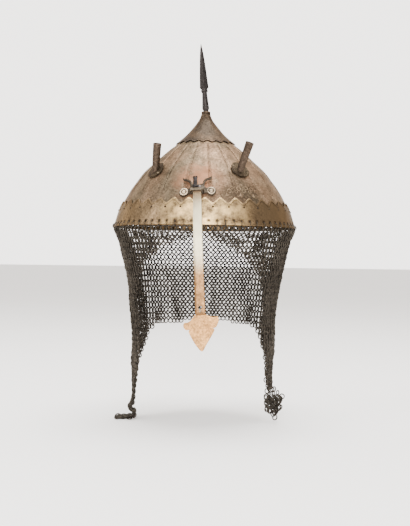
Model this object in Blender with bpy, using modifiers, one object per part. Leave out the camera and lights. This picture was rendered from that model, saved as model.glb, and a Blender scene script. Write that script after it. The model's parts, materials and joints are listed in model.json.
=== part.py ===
"""Kulah khud: a fluted iron bowl with a riveted rim band, an apex cap and spike, two plume holders, a sliding
nasal and a curtain of mail. Metres, +Z up, front towards -Y, origin at the centre of the bowl's mouth."""

from collections import namedtuple
from math import asin, atan2, cos, hypot, pi, radians, sin, tan

import bmesh
import bpy
from mathutils import Matrix, Vector

# Clearances
GAP = 0.0003
SLIDE_CLEARANCE = 0.0005

# Bowl
RIM_RADIUS = 0.1018
SKULL_HEIGHT = 0.1326
BOWL_WALL = 0.0016
BOWL_EDGE = 0.008
CROWN_CLEARANCE = 0.0073
PANELS = 20
RIB_WIDTH = 0.0042
RIB_HEIGHT = 0.0004
RIB_FOOT = 0.0340
RIB_RUNOUT = 0.0071

# Rim band
BAND_WALL = 0.0009
BAND_TEETH = 36
BAND_PEAK = 0.0290
BAND_TOOTH = 0.0060
RIM_HOLES = 72
RIM_HOLE_RADIUS = 0.0008
RIM_HOLE_HEIGHT = 0.0045
HOLE_SIDES = 4

# Apex cap
CAP_WALL = 0.0008
CAP_POINTS = 20
CAP_DROP = 0.0366
CAP_POINT = 0.0025

# Spike
SPIKE_HEIGHT = 0.0785
SPIKE_TANG = 0.0060
SPIKE_RADIUS = 0.0040
BLADE_FOOT = 0.0255
BLADE_WIDTH = 0.0102
BLADE_DEPTH = 0.0072
SPIKE_LEAN = radians(5.0)

# The cap's edge lies this far below the apex, and the bowl opens below the spike's tang
CAP_EDGE = SKULL_HEIGHT - CAP_DROP
CROWN_OPENING = SKULL_HEIGHT - SPIKE_TANG - CROWN_CLEARANCE

# Plume holders
TUBE_RADIUS = 0.0038
MOUTH_RADIUS = 0.0045
TUBE_WALL = 0.0010
PLATE_RADIUS = 0.0110
PLATE_WALL = 0.0011
PLATE_SCALLOPS = 8
SCALLOP_DEPTH = 0.0009
PLUME_REACH = 0.0288
PLUME_RIVET_RADIUS = 0.0014
PLUME_RIVET_REACH = 0.0084
PLUME_RIVET_TURN = radians(-35)

# Nasal: the bar lies on an arc and slides along it, through the bracket's staple
BAR_ARC = 0.400
BAR_LEAN = radians(4.0)
STAPLE_HEIGHT = 0.0365
ARC_CENTRE_DROP = 0.1865
RIM_CLEARANCE = 0.0013
BAR_TOP_WIDTH = 0.0084
BAR_FOOT_WIDTH = 0.0102
BAR_THICKNESS = 0.0022
BAR_ABOVE_STAPLE = 0.0050
BAR_BELOW_STAPLE = 0.1342
BAR_HOLE_RADIUS = 0.0020
BAR_HOLE_RISE = 0.0070
LEAF_WIDTH = 0.0353
LEAF_LENGTH = 0.0362
LEAF_THICKNESS = 0.0016
LEAF_TONGUE = 0.0052
LEAF_NECK_WIDTH = 0.0086
LEAF_RIVET_RADIUS = 0.0015
LEAF_RIVET_RISE = 0.0033
STOP_WIDTH = 0.0062
STOP_HEIGHT = 0.0118
STOP_THICKNESS = 0.0026
STOP_SIDE = -0.0017
STOP_KNOB_RADIUS = 0.0021

# Nasal bracket
BRACKET_WIDTH = 0.0367
BRACKET_HEIGHT = 0.0190
BRACKET_WALL = 0.0010
BRACKET_FOOT = 0.0298
STAPLE_THICKNESS = 0.0015
STAPLE_BREADTH = 0.0030
BRACKET_RIVET_RADIUS = 0.0021
BRACKET_RIVET_SPREAD = 0.0273
BRACKET_RIVET_HEIGHT = 0.0346

# Mail curtain, hung behind the band, its two front tails reaching the surface below
MAIL_WALL = 0.0022
CURTAIN_TOP = 0.0030
CURTAIN_DROP = 0.2150
TAIL_BEND = 0.0100

Section = namedtuple("Section", "height radius")
Hem = namedtuple("Hem", "azimuth length parts")
Outline = namedtuple("Outline", "across along")
Holder = namedtuple("Holder", "side azimuth height lean forward reach")

# Outer profile: height as a share of SKULL_HEIGHT, radius of RIM_RADIUS
SKULL = (
    Section(0.000, 1.0000),
    Section(0.075, 0.9700),
    Section(0.150, 0.9380),
    Section(0.225, 0.8900),
    Section(0.310, 0.8270),
    Section(0.390, 0.7515),
    Section(0.475, 0.6640),
    Section(0.560, 0.5470),
    Section(0.635, 0.4420),
    Section(0.715, 0.3150),
    Section(0.800, 0.1945),
    Section(0.900, 0.0855),
    Section(0.950, 0.0510),
    Section(1.000, 0.0334),
)

# Spike's stem, whose top enters the blade: height as a share of BLADE_FOOT, radius of SPIKE_RADIUS
SPIKE_STEM = (
    Section(1.062, 0.75),
    Section(1.016, 0.86),
    Section(0.942, 0.97),
    Section(0.868, 0.86),
    Section(0.847, 0.71),
    Section(0.477, 0.85),
    Section(0.175, 1.00),
    Section(0.092, 0.88),
    Section(0.049, 0.70),
    Section(0.025, 0.76),
)

# Blade: height as a share of the blade's length, radius of half its width
SPIKE_BLADE = (
    Section(0.865, 0.30),
    Section(0.640, 0.56),
    Section(0.050, 1.00),
    Section(0.000, 0.55),
)

# Curtain profile: drop as a share of CURTAIN_DROP, radius of RIM_RADIUS
CURTAIN = (
    Section(0.000, 0.990),
    Section(0.014, 0.985),
    Section(0.073, 0.960),
    Section(0.158, 0.9155),
    Section(0.242, 0.870),
    Section(0.326, 0.837),
    Section(0.498, 0.798),
    Section(0.749, 0.781),
    Section(1.000, 0.781),
)

# Hem: azimuth from the front in degrees, length as a share of CURTAIN_DROP, columns up to the next row
HEMS = (
    Hem(0, 0.052, 4),
    Hem(34, 0.158, 2),
    Hem(49, 0.246, 1),
    Hem(57.6, 0.326, 1),
    Hem(59.3, 0.549, 1),
    Hem(62, 0.690, 1),
    Hem(66, 0.830, 1),
    Hem(70, 1.000, 1),
    Hem(78, 1.074, 1),
    Hem(87, 1.000, 1),
    Hem(95, 0.935, 1),
    Hem(104, 0.870, 1),
    Hem(113, 0.765, 1),
    Hem(121, 0.660, 1),
    Hem(130, 0.560, 1),
    Hem(140, 0.520, 4),
    Hem(180, 0.507, 0),
)
CURTAIN_ROWS = (0, 0.05, 0.12, 0.21, 0.32, 0.44, 0.57, 0.70, 0.81, 0.88, 0.92, 0.96, 1)

# Leaf, each side from the bar to the tip: across as a share of half its width, along of its length
LEAF_RIGHT = (
    Outline(0.31, 0.000),
    Outline(0.45, 0.040),
    Outline(0.73, 0.078),
    Outline(0.94, 0.062),
    Outline(1.00, 0.120),
    Outline(0.99, 0.206),
    Outline(0.85, 0.344),
    Outline(0.67, 0.389),
    Outline(0.75, 0.430),
    Outline(0.52, 0.622),
    Outline(0.26, 0.817),
)
LEAF_LEFT = (
    Outline(0.31, 0.000),
    Outline(0.40, 0.040),
    Outline(0.59, 0.150),
    Outline(0.78, 0.196),
    Outline(0.93, 0.198),
    Outline(1.00, 0.260),
    Outline(0.97, 0.344),
    Outline(0.84, 0.400),
    Outline(0.67, 0.394),
    Outline(0.71, 0.456),
    Outline(0.54, 0.650),
    Outline(0.29, 0.858),
)

# Bracket plate, right half: across as a share of half its width, along of its height, from the foot up
BRACKET = (
    Outline(0.22, 0.10),
    Outline(0.46, 0.15),
    Outline(0.62, 0.03),
    Outline(0.82, 0.00),
    Outline(1.00, 0.16),
    Outline(0.97, 0.36),
    Outline(0.78, 0.46),
    Outline(0.54, 0.42),
    Outline(0.42, 0.48),
    Outline(0.40, 0.62),
    Outline(0.48, 0.76),
    Outline(0.64, 0.84),
    Outline(0.82, 0.87),
    Outline(0.88, 1.00),
    Outline(0.70, 0.95),
    Outline(0.48, 0.90),
    Outline(0.34, 0.79),
    Outline(0.26, 0.66),
)

# Plume holders: height of the tube's foot as a share of SKULL_HEIGHT, length of the tube of PLUME_REACH
HOLDERS = (
    Holder("left", radians(-43.5), 0.4525, radians(6), radians(18), 1.000),
    Holder("right", radians(37.0), 0.4563, radians(20), radians(16), 1.059),
)


def clear_scene():
    for item in list(bpy.data.objects):
        bpy.data.objects.remove(item, do_unlink=True)


def collection(name):
    group = bpy.data.collections.new(name)
    bpy.context.scene.collection.children.link(group)
    return group


def metal(name, colour, roughness, metallic=1.0):
    material = bpy.data.materials.new(name)
    material.use_nodes = True
    shader = material.node_tree.nodes["Principled BSDF"]
    shader.inputs["Base Color"].default_value = (*colour, 1.0)
    shader.inputs["Roughness"].default_value = roughness
    shader.inputs["Metallic"].default_value = metallic
    return material


def add(name, mesh, group, material=None):
    item = bpy.data.objects.new(name, mesh)
    group.objects.link(item)
    if material:
        mesh.materials.clear()
        mesh.materials.append(material)
        mesh.shade_smooth()
        mesh.set_sharp_from_angle(angle=radians(35))
    else:
        item.hide_render = True
        item.display_type = "WIRE"
    return item


def mesh_of(name, shape):
    """The bmesh as a new mesh, its doubled points welded."""
    bmesh.ops.remove_doubles(shape, verts=shape.verts, dist=1e-6)
    mesh = bpy.data.meshes.new(name)
    shape.to_mesh(mesh)
    shape.free()
    return mesh


def interpolate(table, share):
    """The table's radius at this share of the height."""
    share = min(max(share, table[0].height), table[-1].height)
    for low, high in zip(table, table[1:]):
        if share <= high.height:
            part = (share - low.height) / (high.height - low.height)
            return low.radius + part * (high.radius - low.radius)


def skull_radius(height):
    return RIM_RADIUS * interpolate(SKULL, height / SKULL_HEIGHT)


def profile_normal(height):
    """The outer profile's normal at this height, as its radial and its upward part."""
    reach = 0.02 * SKULL_HEIGHT
    low = max(height - reach, 0)
    high = min(height + reach, SKULL_HEIGHT)
    slope = (skull_radius(high) - skull_radius(low)) / (high - low)
    return 1 / hypot(1, slope), -slope / hypot(1, slope)


def around(azimuth, radius, height):
    """A point at this azimuth, counted from the front towards +X."""
    return Vector((radius * sin(azimuth), -radius * cos(azimuth), height))


def over_skull(azimuth, height, offset):
    """A point this far off the bowl's outer surface, along its normal."""
    outward, upward = profile_normal(height)
    return around(azimuth, skull_radius(height) + offset * outward, height + offset * upward)


def skull_normal(azimuth, height):
    outward, upward = profile_normal(height)
    return around(azimuth, outward, upward)


def slide_to_skull(point, direction, offset):
    """The point moved along the direction until it lies this far off the bowl."""
    point = Vector(point)
    for _ in range(20):
        azimuth = atan2(point.x, -point.y)
        normal = skull_normal(azimuth, point.z)
        excess = (hypot(point.x, point.y) - skull_radius(point.z)) * profile_normal(point.z)[0] - offset
        point -= direction * (excess / direction.dot(normal))
    return point


def heights_between(low, high, extra=()):
    """The rows of a sheet on the bowl's profile: its two edges, its own extra rows and the profile's rows."""
    rows = [low, high, *extra]
    for section in SKULL:
        height = section.height * SKULL_HEIGHT
        if low < height < high and min(abs(height - row) for row in rows) > 0.01 * SKULL_HEIGHT:
            rows.append(height)
    return sorted(rows, reverse=True)


def sheet(name, columns, rows, place):
    """A grid of columns and rows whose points go to place(column, row), its normals facing out."""
    shape = bmesh.new()
    bmesh.ops.create_grid(shape, x_segments=columns, y_segments=rows, size=0.5)
    for point in shape.verts:
        column = round((point.co.x + 0.5) * columns)
        row = round((0.5 - point.co.y) * rows)
        point.co = place(column, row)
    return mesh_of(name, shape)


def thicken(item, wall):
    """A wall inside the sheet's surface."""
    solidify = item.modifiers.new("Wall", "SOLIDIFY")
    solidify.thickness = wall
    solidify.offset = -1
    solidify.use_even_offset = True


def turned(name, profile, steps):
    """A profile of (radius, height) points, top to bottom, turned about Z."""
    shape = bmesh.new()
    points = [shape.verts.new((radius, 0, height)) for radius, height in profile]
    for upper, lower in zip(points, points[1:]):
        shape.edges.new((upper, lower))
    bmesh.ops.spin(
        shape, geom=shape.verts[:] + shape.edges[:], cent=(0, 0, 0), axis=(0, 0, 1),
        angle=2 * pi, steps=steps, use_merge=True,
    )
    return mesh_of(name, shape)


def outlined(name, points, half_thickness=0.0):
    """A flat outline in XY as a filled mesh, extruded by half its thickness either way."""
    curve = bpy.data.curves.new(name, "CURVE")
    curve.dimensions = "2D"
    curve.fill_mode = "BOTH"
    curve.extrude = half_thickness
    spline = curve.splines.new("POLY")
    spline.points.add(len(points) - 1)
    for place, (across, along) in zip(spline.points, points):
        place.co = (across, along, 0, 1)
    spline.use_cyclic_u = True
    guide = bpy.data.objects.new(name, curve)
    bpy.context.scene.collection.objects.link(guide)
    bpy.context.view_layer.update()
    mesh = bpy.data.meshes.new_from_object(guide.evaluated_get(bpy.context.evaluated_depsgraph_get()))
    bpy.data.objects.remove(guide)
    shape = bmesh.new()
    shape.from_mesh(mesh)
    bmesh.ops.remove_doubles(shape, verts=shape.verts, dist=1e-6)
    return shape


def mirrored(half, half_width, length):
    """A closed outline from its right half's shares, bottom to top on the right and back on the left."""
    right = [(row.across * half_width, row.along * length) for row in half]
    return right + [(-across, along) for across, along in reversed(right)]


def laid_on_skull(name, points, azimuth, height, offset, pitch):
    """A flat outline bent onto the bowl about a point, its top this far off the surface. Its x runs round the
    bowl and its y up the profile. Cuts every pitch let it bend."""
    shape = outlined(name, points)
    for axis in (0, 1):
        reach = max(abs(point[axis]) for point in points)
        for step in range(-int(reach / pitch), int(reach / pitch) + 1):
            place = Vector((0, 0, 0))
            place[axis] = step * pitch
            normal = Vector((0, 0, 0))
            normal[axis] = 1
            bmesh.ops.bisect_plane(
                shape, geom=shape.verts[:] + shape.edges[:] + shape.faces[:], dist=1e-6,
                plane_co=place, plane_no=normal,
            )
    outward, _ = profile_normal(height)
    for point in shape.verts:
        rise = height + point.co.y * outward
        turn = azimuth + point.co.x / skull_radius(height)
        point.co = over_skull(turn, rise, offset)
    bmesh.ops.recalc_face_normals(shape, faces=shape.faces)
    shape.faces.ensure_lookup_table()
    middle = shape.faces[0]
    if middle.normal.dot(skull_normal(azimuth, height)) < 0:
        bmesh.ops.reverse_faces(shape, faces=shape.faces)
    return mesh_of(name, shape)


def combine(item, tool, operation):
    boolean = item.modifiers.new(operation.title(), "BOOLEAN")
    boolean.operation = operation
    boolean.object = tool


def facing(point, normal):
    """A frame at the point whose Z is the normal."""
    return Matrix.Translation(point) @ normal.to_track_quat("Z", "Y").to_matrix().to_4x4()


def rivet(name, radius, frame, group, material):
    """A low domed head on the plane z = 0 of the frame."""
    profile = ((0, 0.6 * radius), (0.62 * radius, 0.44 * radius), (radius, 0), (0, 0))
    item = add(name, turned(name, profile, 10), group, material)
    item.matrix_world = frame
    return item


def add_bowl(group, material):
    """The fluted bowl, with a rib along each joint of two panels."""
    rib_top = CAP_EDGE - CAP_POINT - GAP
    full_rib = (RIB_FOOT + RIB_RUNOUT, rib_top - RIB_RUNOUT)
    rows = heights_between(BOWL_EDGE, CROWN_OPENING, (RIB_FOOT, *full_rib, rib_top))
    rows = [row for row in rows if row == BOWL_EDGE or row > BAND_PEAK]
    half_rib = RIB_WIDTH / 2 / RIM_RADIUS
    panel = 2 * pi / PANELS
    turns = (0, half_rib, panel / 2, panel - half_rib)

    def place(column, row):
        step = column % (len(turns) * PANELS)
        azimuth = panel / 2 + panel * (step // len(turns)) + turns[step % len(turns)]
        height = rows[row]
        crest = step % len(turns) == 0 and full_rib[0] - 1e-6 <= height <= full_rib[1] + 1e-6
        return over_skull(azimuth, height, RIB_HEIGHT if crest else 0)

    mesh = sheet("skull_bowl", len(turns) * PANELS, len(rows) - 1, place)
    thicken(add("skull_bowl", mesh, group, material), BOWL_WALL)


def add_band(group, cutters, material):
    """The rim band, with a toothed upper edge and the row of holes that the mail hangs from."""
    columns = 2 * BAND_TEETH
    rows = heights_between(0, BAND_PEAK - BAND_TOOTH)
    offset = GAP + BAND_WALL

    def place(column, row):
        peak = row == 0 and column % 2 == 1
        azimuth = 2 * pi * (column % columns) / columns
        return over_skull(azimuth, BAND_PEAK if peak else rows[row], offset)

    band = add("rim_band", sheet("rim_band", columns, len(rows) - 1, place), group, material)
    thicken(band, BAND_WALL)
    shape = bmesh.new()
    for hole in range(RIM_HOLES):
        azimuth = 2 * pi * (hole + 0.5) / RIM_HOLES
        middle = over_skull(azimuth, RIM_HOLE_HEIGHT, offset)
        frame = facing(middle, skull_normal(azimuth, RIM_HOLE_HEIGHT))
        bmesh.ops.create_cone(
            shape, cap_ends=True, segments=HOLE_SIDES, radius1=RIM_HOLE_RADIUS,
            radius2=RIM_HOLE_RADIUS, depth=6 * BAND_WALL, matrix=frame,
        )
    combine(band, add("rim_hole_cutter", mesh_of("rim_hole_cutter", shape), cutters), "DIFFERENCE")


def add_cap(group, material):
    """The apex cap over the bowl's crown, with a pointed lower edge and an open neck for the spike."""
    columns = 2 * CAP_POINTS
    rows = heights_between(CAP_EDGE, SKULL_HEIGHT)
    offset = GAP + CAP_WALL

    def place(column, row):
        pointed = row == len(rows) - 1 and column % 2 == 0
        azimuth = 2 * pi * (column % columns) / columns
        return over_skull(azimuth, CAP_EDGE - CAP_POINT if pointed else rows[row], offset)

    thicken(add("apex_cap", sheet("apex_cap", columns, len(rows) - 1, place), group, material), CAP_WALL)


def add_spike(group, cutters, material):
    """The spike: a turned stem whose tang enters the cap's neck, and a four-sided blade."""
    tang = skull_radius(SKULL_HEIGHT) - sin(SPIKE_LEAN) * SPIKE_TANG / 2
    stem = [(0, SPIKE_STEM[0].height * BLADE_FOOT)]
    stem += [(row.radius * SPIKE_RADIUS, row.height * BLADE_FOOT) for row in SPIKE_STEM]
    stem += [(tang, 0), (tang, -SPIKE_TANG), (0, -SPIKE_TANG)]
    spike = add("spike", turned("spike", stem, 14), group, material)

    length = SPIKE_HEIGHT - BLADE_FOOT
    profile = [(0, SPIKE_HEIGHT)]
    profile += [(row.radius * BLADE_WIDTH / 2, BLADE_FOOT + row.height * length) for row in SPIKE_BLADE]
    profile += [(0, BLADE_FOOT)]
    mesh = turned("spike_blade", profile, 4)
    mesh.transform(Matrix.Diagonal((1, BLADE_DEPTH / BLADE_WIDTH, 1, 1)))
    blade = add("spike_blade", mesh, cutters)
    for item in (spike, blade):
        item.location = (0, 0, SKULL_HEIGHT)
        item.rotation_euler = (0, -SPIKE_LEAN, 0)
    combine(spike, blade, "UNION")


def scalloped_disc():
    """The plume plate's outline: a disc with scallops round its edge."""
    points = []
    per_scallop = 3
    count = PLATE_SCALLOPS * per_scallop
    for step in range(count):
        radius = PLATE_RADIUS - (SCALLOP_DEPTH if step % per_scallop == 0 else 0)
        angle = 2 * pi * step / count
        points.append((radius * cos(angle), radius * sin(angle)))
    return points


def add_plume_holder(holder, group, cutters, iron, bright):
    """A slanted tube soldered to a scalloped plate, and the plate's two rivets."""
    name = "plume_holder_" + holder.side
    seat = RIB_HEIGHT + GAP
    top = seat + PLATE_WALL
    foot_height = holder.height * SKULL_HEIGHT
    reach = holder.reach * PLUME_REACH
    mesh = laid_on_skull(name, scalloped_disc(), holder.azimuth, foot_height, top, PLATE_RADIUS / 2)
    plate = add(name, mesh, group, iron)
    thicken(plate, PLATE_WALL)

    axis = Vector((tan(holder.lean), -tan(holder.forward), 1)).normalized()
    floor = over_skull(holder.azimuth, foot_height, top)
    middle = seat + PLATE_WALL / 2
    bore = TUBE_RADIUS - TUBE_WALL
    profile = (
        (bore, TUBE_WALL), (MOUTH_RADIUS - TUBE_WALL, reach), (MOUTH_RADIUS, reach), (TUBE_RADIUS, 0), (0, 0),
    )
    mesh = turned(name + "_tube", ((0, TUBE_WALL), *profile), 12)
    frame = facing(floor, axis)
    for point in mesh.vertices:
        foot = point.co.z < TUBE_WALL / 2
        inner_foot = not foot and point.co.z < 1.5 * TUBE_WALL
        point.co = frame @ point.co
        if foot:
            point.co = slide_to_skull(point.co, axis, middle)
        elif inner_foot:
            point.co = slide_to_skull(point.co, axis, top + TUBE_WALL / 2)
    combine(plate, add(name + "_tube", mesh, cutters), "UNION")

    for index, side in enumerate((-1, 1), start=1):
        across = side * PLUME_RIVET_REACH * cos(PLUME_RIVET_TURN)
        along = side * PLUME_RIVET_REACH * sin(PLUME_RIVET_TURN)
        azimuth = holder.azimuth + across / skull_radius(foot_height)
        height = foot_height + along * profile_normal(foot_height)[0]
        frame = facing(over_skull(azimuth, height, top + GAP), skull_normal(azimuth, height))
        rivet(f"plume_rivet_{holder.side}_{index}", PLUME_RIVET_RADIUS, frame, group, bright)


def bar_back_limits():
    """The heights behind the bar, each with what its back clears there: the band, and the bracket's plate."""
    limits = []
    for step in range(12):
        height = BAND_PEAK * step / 11
        limits.append((over_skull(0, height, GAP + BAND_WALL), RIM_CLEARANCE))
        height = BRACKET_FOOT + BRACKET_HEIGHT * step / 11
        limits.append((over_skull(0, height, RIB_HEIGHT + GAP + BRACKET_WALL), SLIDE_CLEARANCE))
    return limits


def arc_centre():
    """The centre of the bar's arc, in the plane that leans with the bar, as far back as what the bar's back
    clears lets it lie."""
    height = STAPLE_HEIGHT - ARC_CENTRE_DROP * cos(BAR_LEAN)
    reach = []
    for point, clearance in bar_back_limits():
        rise = asin((point.z - height) / BAR_ARC)
        reach.append(BAR_ARC * cos(rise) - (-point.y + (clearance + BAR_THICKNESS / 2) / cos(rise)))
    return Vector((ARC_CENTRE_DROP * sin(BAR_LEAN), min(reach), height))


def on_arc(angle):
    """The frame on the bar's centre line, in the pivot's frame: x across, y into the helmet, z up the bar."""
    return Matrix.Rotation(-angle, 4, "X") @ Matrix.Translation((0, -BAR_ARC, 0))


STAPLE_ANGLE = asin(ARC_CENTRE_DROP / BAR_ARC)
BAR_FOOT_ANGLE = STAPLE_ANGLE - BAR_BELOW_STAPLE / BAR_ARC
BAR_TOP_ANGLE = STAPLE_ANGLE + BAR_ABOVE_STAPLE / BAR_ARC


def add_nasal(group, cutters, metals):
    """The nasal: a bar on an arc, the leaf behind its foot, the rivet between them and the stop at its top.
    All are held by an empty on the arc's axis, about which the bar slides through the staple."""
    pivot = bpy.data.objects.new("nasal_pivot", None)
    group.objects.link(pivot)
    pivot.location = arc_centre()
    pivot.rotation_euler = (0, -BAR_LEAN, 0)
    half = BAR_THICKNESS / 2
    rows = 14

    def place(column, row):
        share = row / rows
        angle = BAR_TOP_ANGLE + share * (BAR_FOOT_ANGLE - BAR_TOP_ANGLE)
        width = BAR_TOP_WIDTH + share * (BAR_FOOT_WIDTH - BAR_TOP_WIDTH)
        return on_arc(angle) @ Vector((width * (column - 1) / 2, -half, 0))

    bar = add("nasal_bar", sheet("nasal_bar", 2, rows, place), group, metals["bright"])
    thicken(bar, BAR_THICKNESS)
    shape = bmesh.new()
    quarter = Matrix.Rotation(pi / 2, 4, "X")
    bmesh.ops.create_cone(
        shape, cap_ends=True, segments=12, radius1=BAR_HOLE_RADIUS, radius2=BAR_HOLE_RADIUS,
        depth=3 * BAR_THICKNESS, matrix=on_arc(BAR_FOOT_ANGLE + BAR_HOLE_RISE / BAR_ARC) @ quarter,
    )
    hole = add("nasal_bar_hole_cutter", mesh_of("nasal_bar_hole_cutter", shape), cutters)
    combine(bar, hole, "DIFFERENCE")

    half_leaf = LEAF_WIDTH / 2
    right = [(row.across * half_leaf, -row.along * LEAF_LENGTH) for row in LEAF_RIGHT]
    left = [(-row.across * half_leaf, -row.along * LEAF_LENGTH) for row in reversed(LEAF_LEFT)]
    neck = LEAF_NECK_WIDTH / 2
    outline = [
        (neck, LEAF_TONGUE), (neck, 0), *right, (0, -LEAF_LENGTH), *left, (-neck, 0), (-neck, LEAF_TONGUE),
    ]
    flat = mesh_of("nasal_leaf", outlined("nasal_leaf", outline, LEAF_THICKNESS / 2))
    leaf = add("nasal_leaf", flat, group, metals["dull"])
    depth = half + GAP + LEAF_THICKNESS / 2
    leaf.matrix_local = on_arc(BAR_FOOT_ANGLE) @ Matrix.Translation((0, depth, 0)) @ quarter

    front = Matrix.Translation((0, -half - GAP, 0)) @ quarter
    head = on_arc(BAR_FOOT_ANGLE + LEAF_RIVET_RISE / BAR_ARC) @ front
    knot = rivet("leaf_rivet", LEAF_RIVET_RADIUS, head, group, metals["bright"])

    rest = STAPLE_BREADTH / 2 + GAP
    shape = bmesh.new()
    bmesh.ops.create_cube(shape, size=1)
    bmesh.ops.scale(shape, vec=(STOP_WIDTH, STOP_THICKNESS, STOP_HEIGHT), verts=shape.verts)
    stop = add("nasal_stop", mesh_of("nasal_stop", shape), group, metals["dark"])
    depth = -half - GAP - STOP_THICKNESS / 2
    middle = Matrix.Translation((STOP_SIDE, depth, STOP_HEIGHT / 2))
    place_of_stop = on_arc(STAPLE_ANGLE + rest / BAR_ARC) @ middle
    stop.matrix_local = place_of_stop
    shape = bmesh.new()
    bmesh.ops.create_uvsphere(shape, u_segments=10, v_segments=6, radius=STOP_KNOB_RADIUS)
    knob = add("nasal_stop_knob", mesh_of("nasal_stop_knob", shape), cutters)
    knob.matrix_local = place_of_stop @ Matrix.Translation((0, 0, STOP_HEIGHT / 2 + STOP_KNOB_RADIUS / 2))
    combine(stop, knob, "UNION")
    for item in (bar, hole, leaf, knot, stop, knob):
        item.parent = pivot


def add_bracket(group, cutters, metals):
    """The bracket: a plate on the bowl with two rivet lobes, two horns and the staple that holds the bar.
    It is turned about the staple, square to the leaning bar."""
    middle = BRACKET_FOOT + BRACKET_HEIGHT / 2
    up = profile_normal(middle)[0]

    def tilted(across, height):
        """Across and along from the plate's middle, once the point at this height is turned."""
        along = (height - STAPLE_HEIGHT) / up
        turned_across = across * cos(BAR_LEAN) - along * sin(BAR_LEAN)
        turned_along = across * sin(BAR_LEAN) + along * cos(BAR_LEAN)
        return turned_across, turned_along + (STAPLE_HEIGHT - middle) / up

    outline = [
        tilted(across, BRACKET_FOOT + along)
        for across, along in mirrored(BRACKET, BRACKET_WIDTH / 2, BRACKET_HEIGHT)
    ]
    top = RIB_HEIGHT + GAP + BRACKET_WALL
    plate = laid_on_skull("nasal_bracket", outline, 0, middle, top, BRACKET_WIDTH / 8)
    bracket = add("nasal_bracket", plate, group, metals["iron"])
    thicken(bracket, BRACKET_WALL)

    inner = max(BAR_FOOT_WIDTH, BAR_TOP_WIDTH) / 2 + SLIDE_CLEARANCE
    outer = inner + STAPLE_THICKNESS
    roof = BAR_THICKNESS / 2 + SLIDE_CLEARANCE
    crest = roof + STAPLE_THICKNESS
    foot = -BAR_THICKNESS
    arch = (
        (-outer, foot), (-inner, foot), (-inner, roof), (inner, roof),
        (inner, foot), (outer, foot), (outer, crest), (-outer, crest),
    )
    staple = outlined("nasal_staple", arch, STAPLE_BREADTH / 2)
    pivot = Matrix.Translation(arc_centre()) @ Matrix.Rotation(-BAR_LEAN, 4, "Y")
    frame = pivot @ on_arc(STAPLE_ANGLE)
    # The arch is drawn across and outwards, so its own Z becomes the way along the bar.
    upright = Matrix(((1, 0, 0, 0), (0, -1, 0, 0), (0, 0, -1, 0), (0, 0, 0, 1)))
    inward = frame.to_3x3() @ Vector((0, 1, 0))
    for point in staple.verts:
        is_foot = point.co.y < 0
        point.co = frame @ upright @ point.co
        if is_foot:
            point.co = slide_to_skull(point.co, inward, top - BRACKET_WALL / 2)
    bmesh.ops.recalc_face_normals(staple, faces=staple.faces)
    combine(bracket, add("nasal_staple", mesh_of("nasal_staple", staple), cutters), "UNION")

    for side, sign in (("left", -1), ("right", 1)):
        across, along = tilted(sign * BRACKET_RIVET_SPREAD / 2, BRACKET_RIVET_HEIGHT)
        azimuth = across / skull_radius(middle)
        height = middle + along * up
        frame = facing(over_skull(azimuth, height, top + GAP), skull_normal(azimuth, height))
        rivet("bracket_rivet_" + side, BRACKET_RIVET_RADIUS, frame, group, metals["bright"])


def curtain_point(azimuth, length):
    """The curtain's outer surface: it falls straight to the surface below and there turns outwards."""
    radius = RIM_RADIUS * interpolate(CURTAIN, length / CURTAIN_DROP)
    fall = CURTAIN_DROP - TAIL_BEND
    if length <= fall:
        return around(azimuth, radius, CURTAIN_TOP - length)
    turn = min((length - fall) / TAIL_BEND, pi / 2)
    lying = max(length - fall - TAIL_BEND * pi / 2, 0)
    radius += TAIL_BEND * (1 - cos(turn)) + lying
    return around(azimuth, radius, CURTAIN_TOP - fall - TAIL_BEND * sin(turn))


def add_curtain(group, material):
    """The mail as one wall, short over the face and behind, with a long tail at each side."""
    side = []
    for hem, following in zip(HEMS, HEMS[1:]):
        for step in range(hem.parts):
            share = step / hem.parts
            azimuth = hem.azimuth + share * (following.azimuth - hem.azimuth)
            side.append((radians(azimuth), hem.length + share * (following.length - hem.length)))
    back = (pi, HEMS[-1].length)
    columns = side + [back] + [(2 * pi - azimuth, length) for azimuth, length in reversed(side[1:])]

    def place(column, row):
        azimuth, length = columns[column % len(columns)]
        return curtain_point(azimuth, CURTAIN_ROWS[row] * length * CURTAIN_DROP)

    mesh = sheet("mail_curtain", len(columns), len(CURTAIN_ROWS) - 1, place)
    thicken(add("mail_curtain", mesh, group, material), MAIL_WALL)


def main():
    clear_scene()
    parts = collection("kulah_khud")
    cutters = collection("kulah_khud_cutters")
    cutters.hide_render = True
    metals = {
        "iron": metal("worn_iron", (0.20, 0.17, 0.14), 0.45),
        "dark": metal("dark_iron", (0.06, 0.055, 0.05), 0.5),
        "dull": metal("speckled_steel", (0.42, 0.36, 0.29), 0.55),
        "bright": metal("pale_steel", (0.55, 0.50, 0.42), 0.35),
        "band": metal("brassy_band", (0.34, 0.28, 0.19), 0.45),
        "mail": metal("mail_iron", (0.09, 0.08, 0.07), 0.5),
    }
    add_bowl(parts, metals["iron"])
    add_band(parts, cutters, metals["band"])
    add_cap(parts, metals["dull"])
    add_spike(parts, cutters, metals["dark"])
    for holder in HOLDERS:
        add_plume_holder(holder, parts, cutters, metals["iron"], metals["bright"])
    add_bracket(parts, cutters, metals)
    add_nasal(parts, cutters, metals)
    add_curtain(parts, metals["mail"])


main()
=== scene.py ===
"""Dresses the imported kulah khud: fluted iron bowl, rim band, apex cap and spike, plume holders, sliding nasal
and a curtain of real mail rings, on a pale floor in soft studio light. Metres, +Z up, front towards -Y."""

import json
from collections import namedtuple
from math import asin, atan2, ceil, cos, hypot, pi, radians, sin, sqrt, tan
from random import Random

import bmesh
import bpy
import numpy as np
from bpy.props import FloatProperty, FloatVectorProperty, IntProperty, PointerProperty
from mathutils import Matrix, Vector, noise

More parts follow.
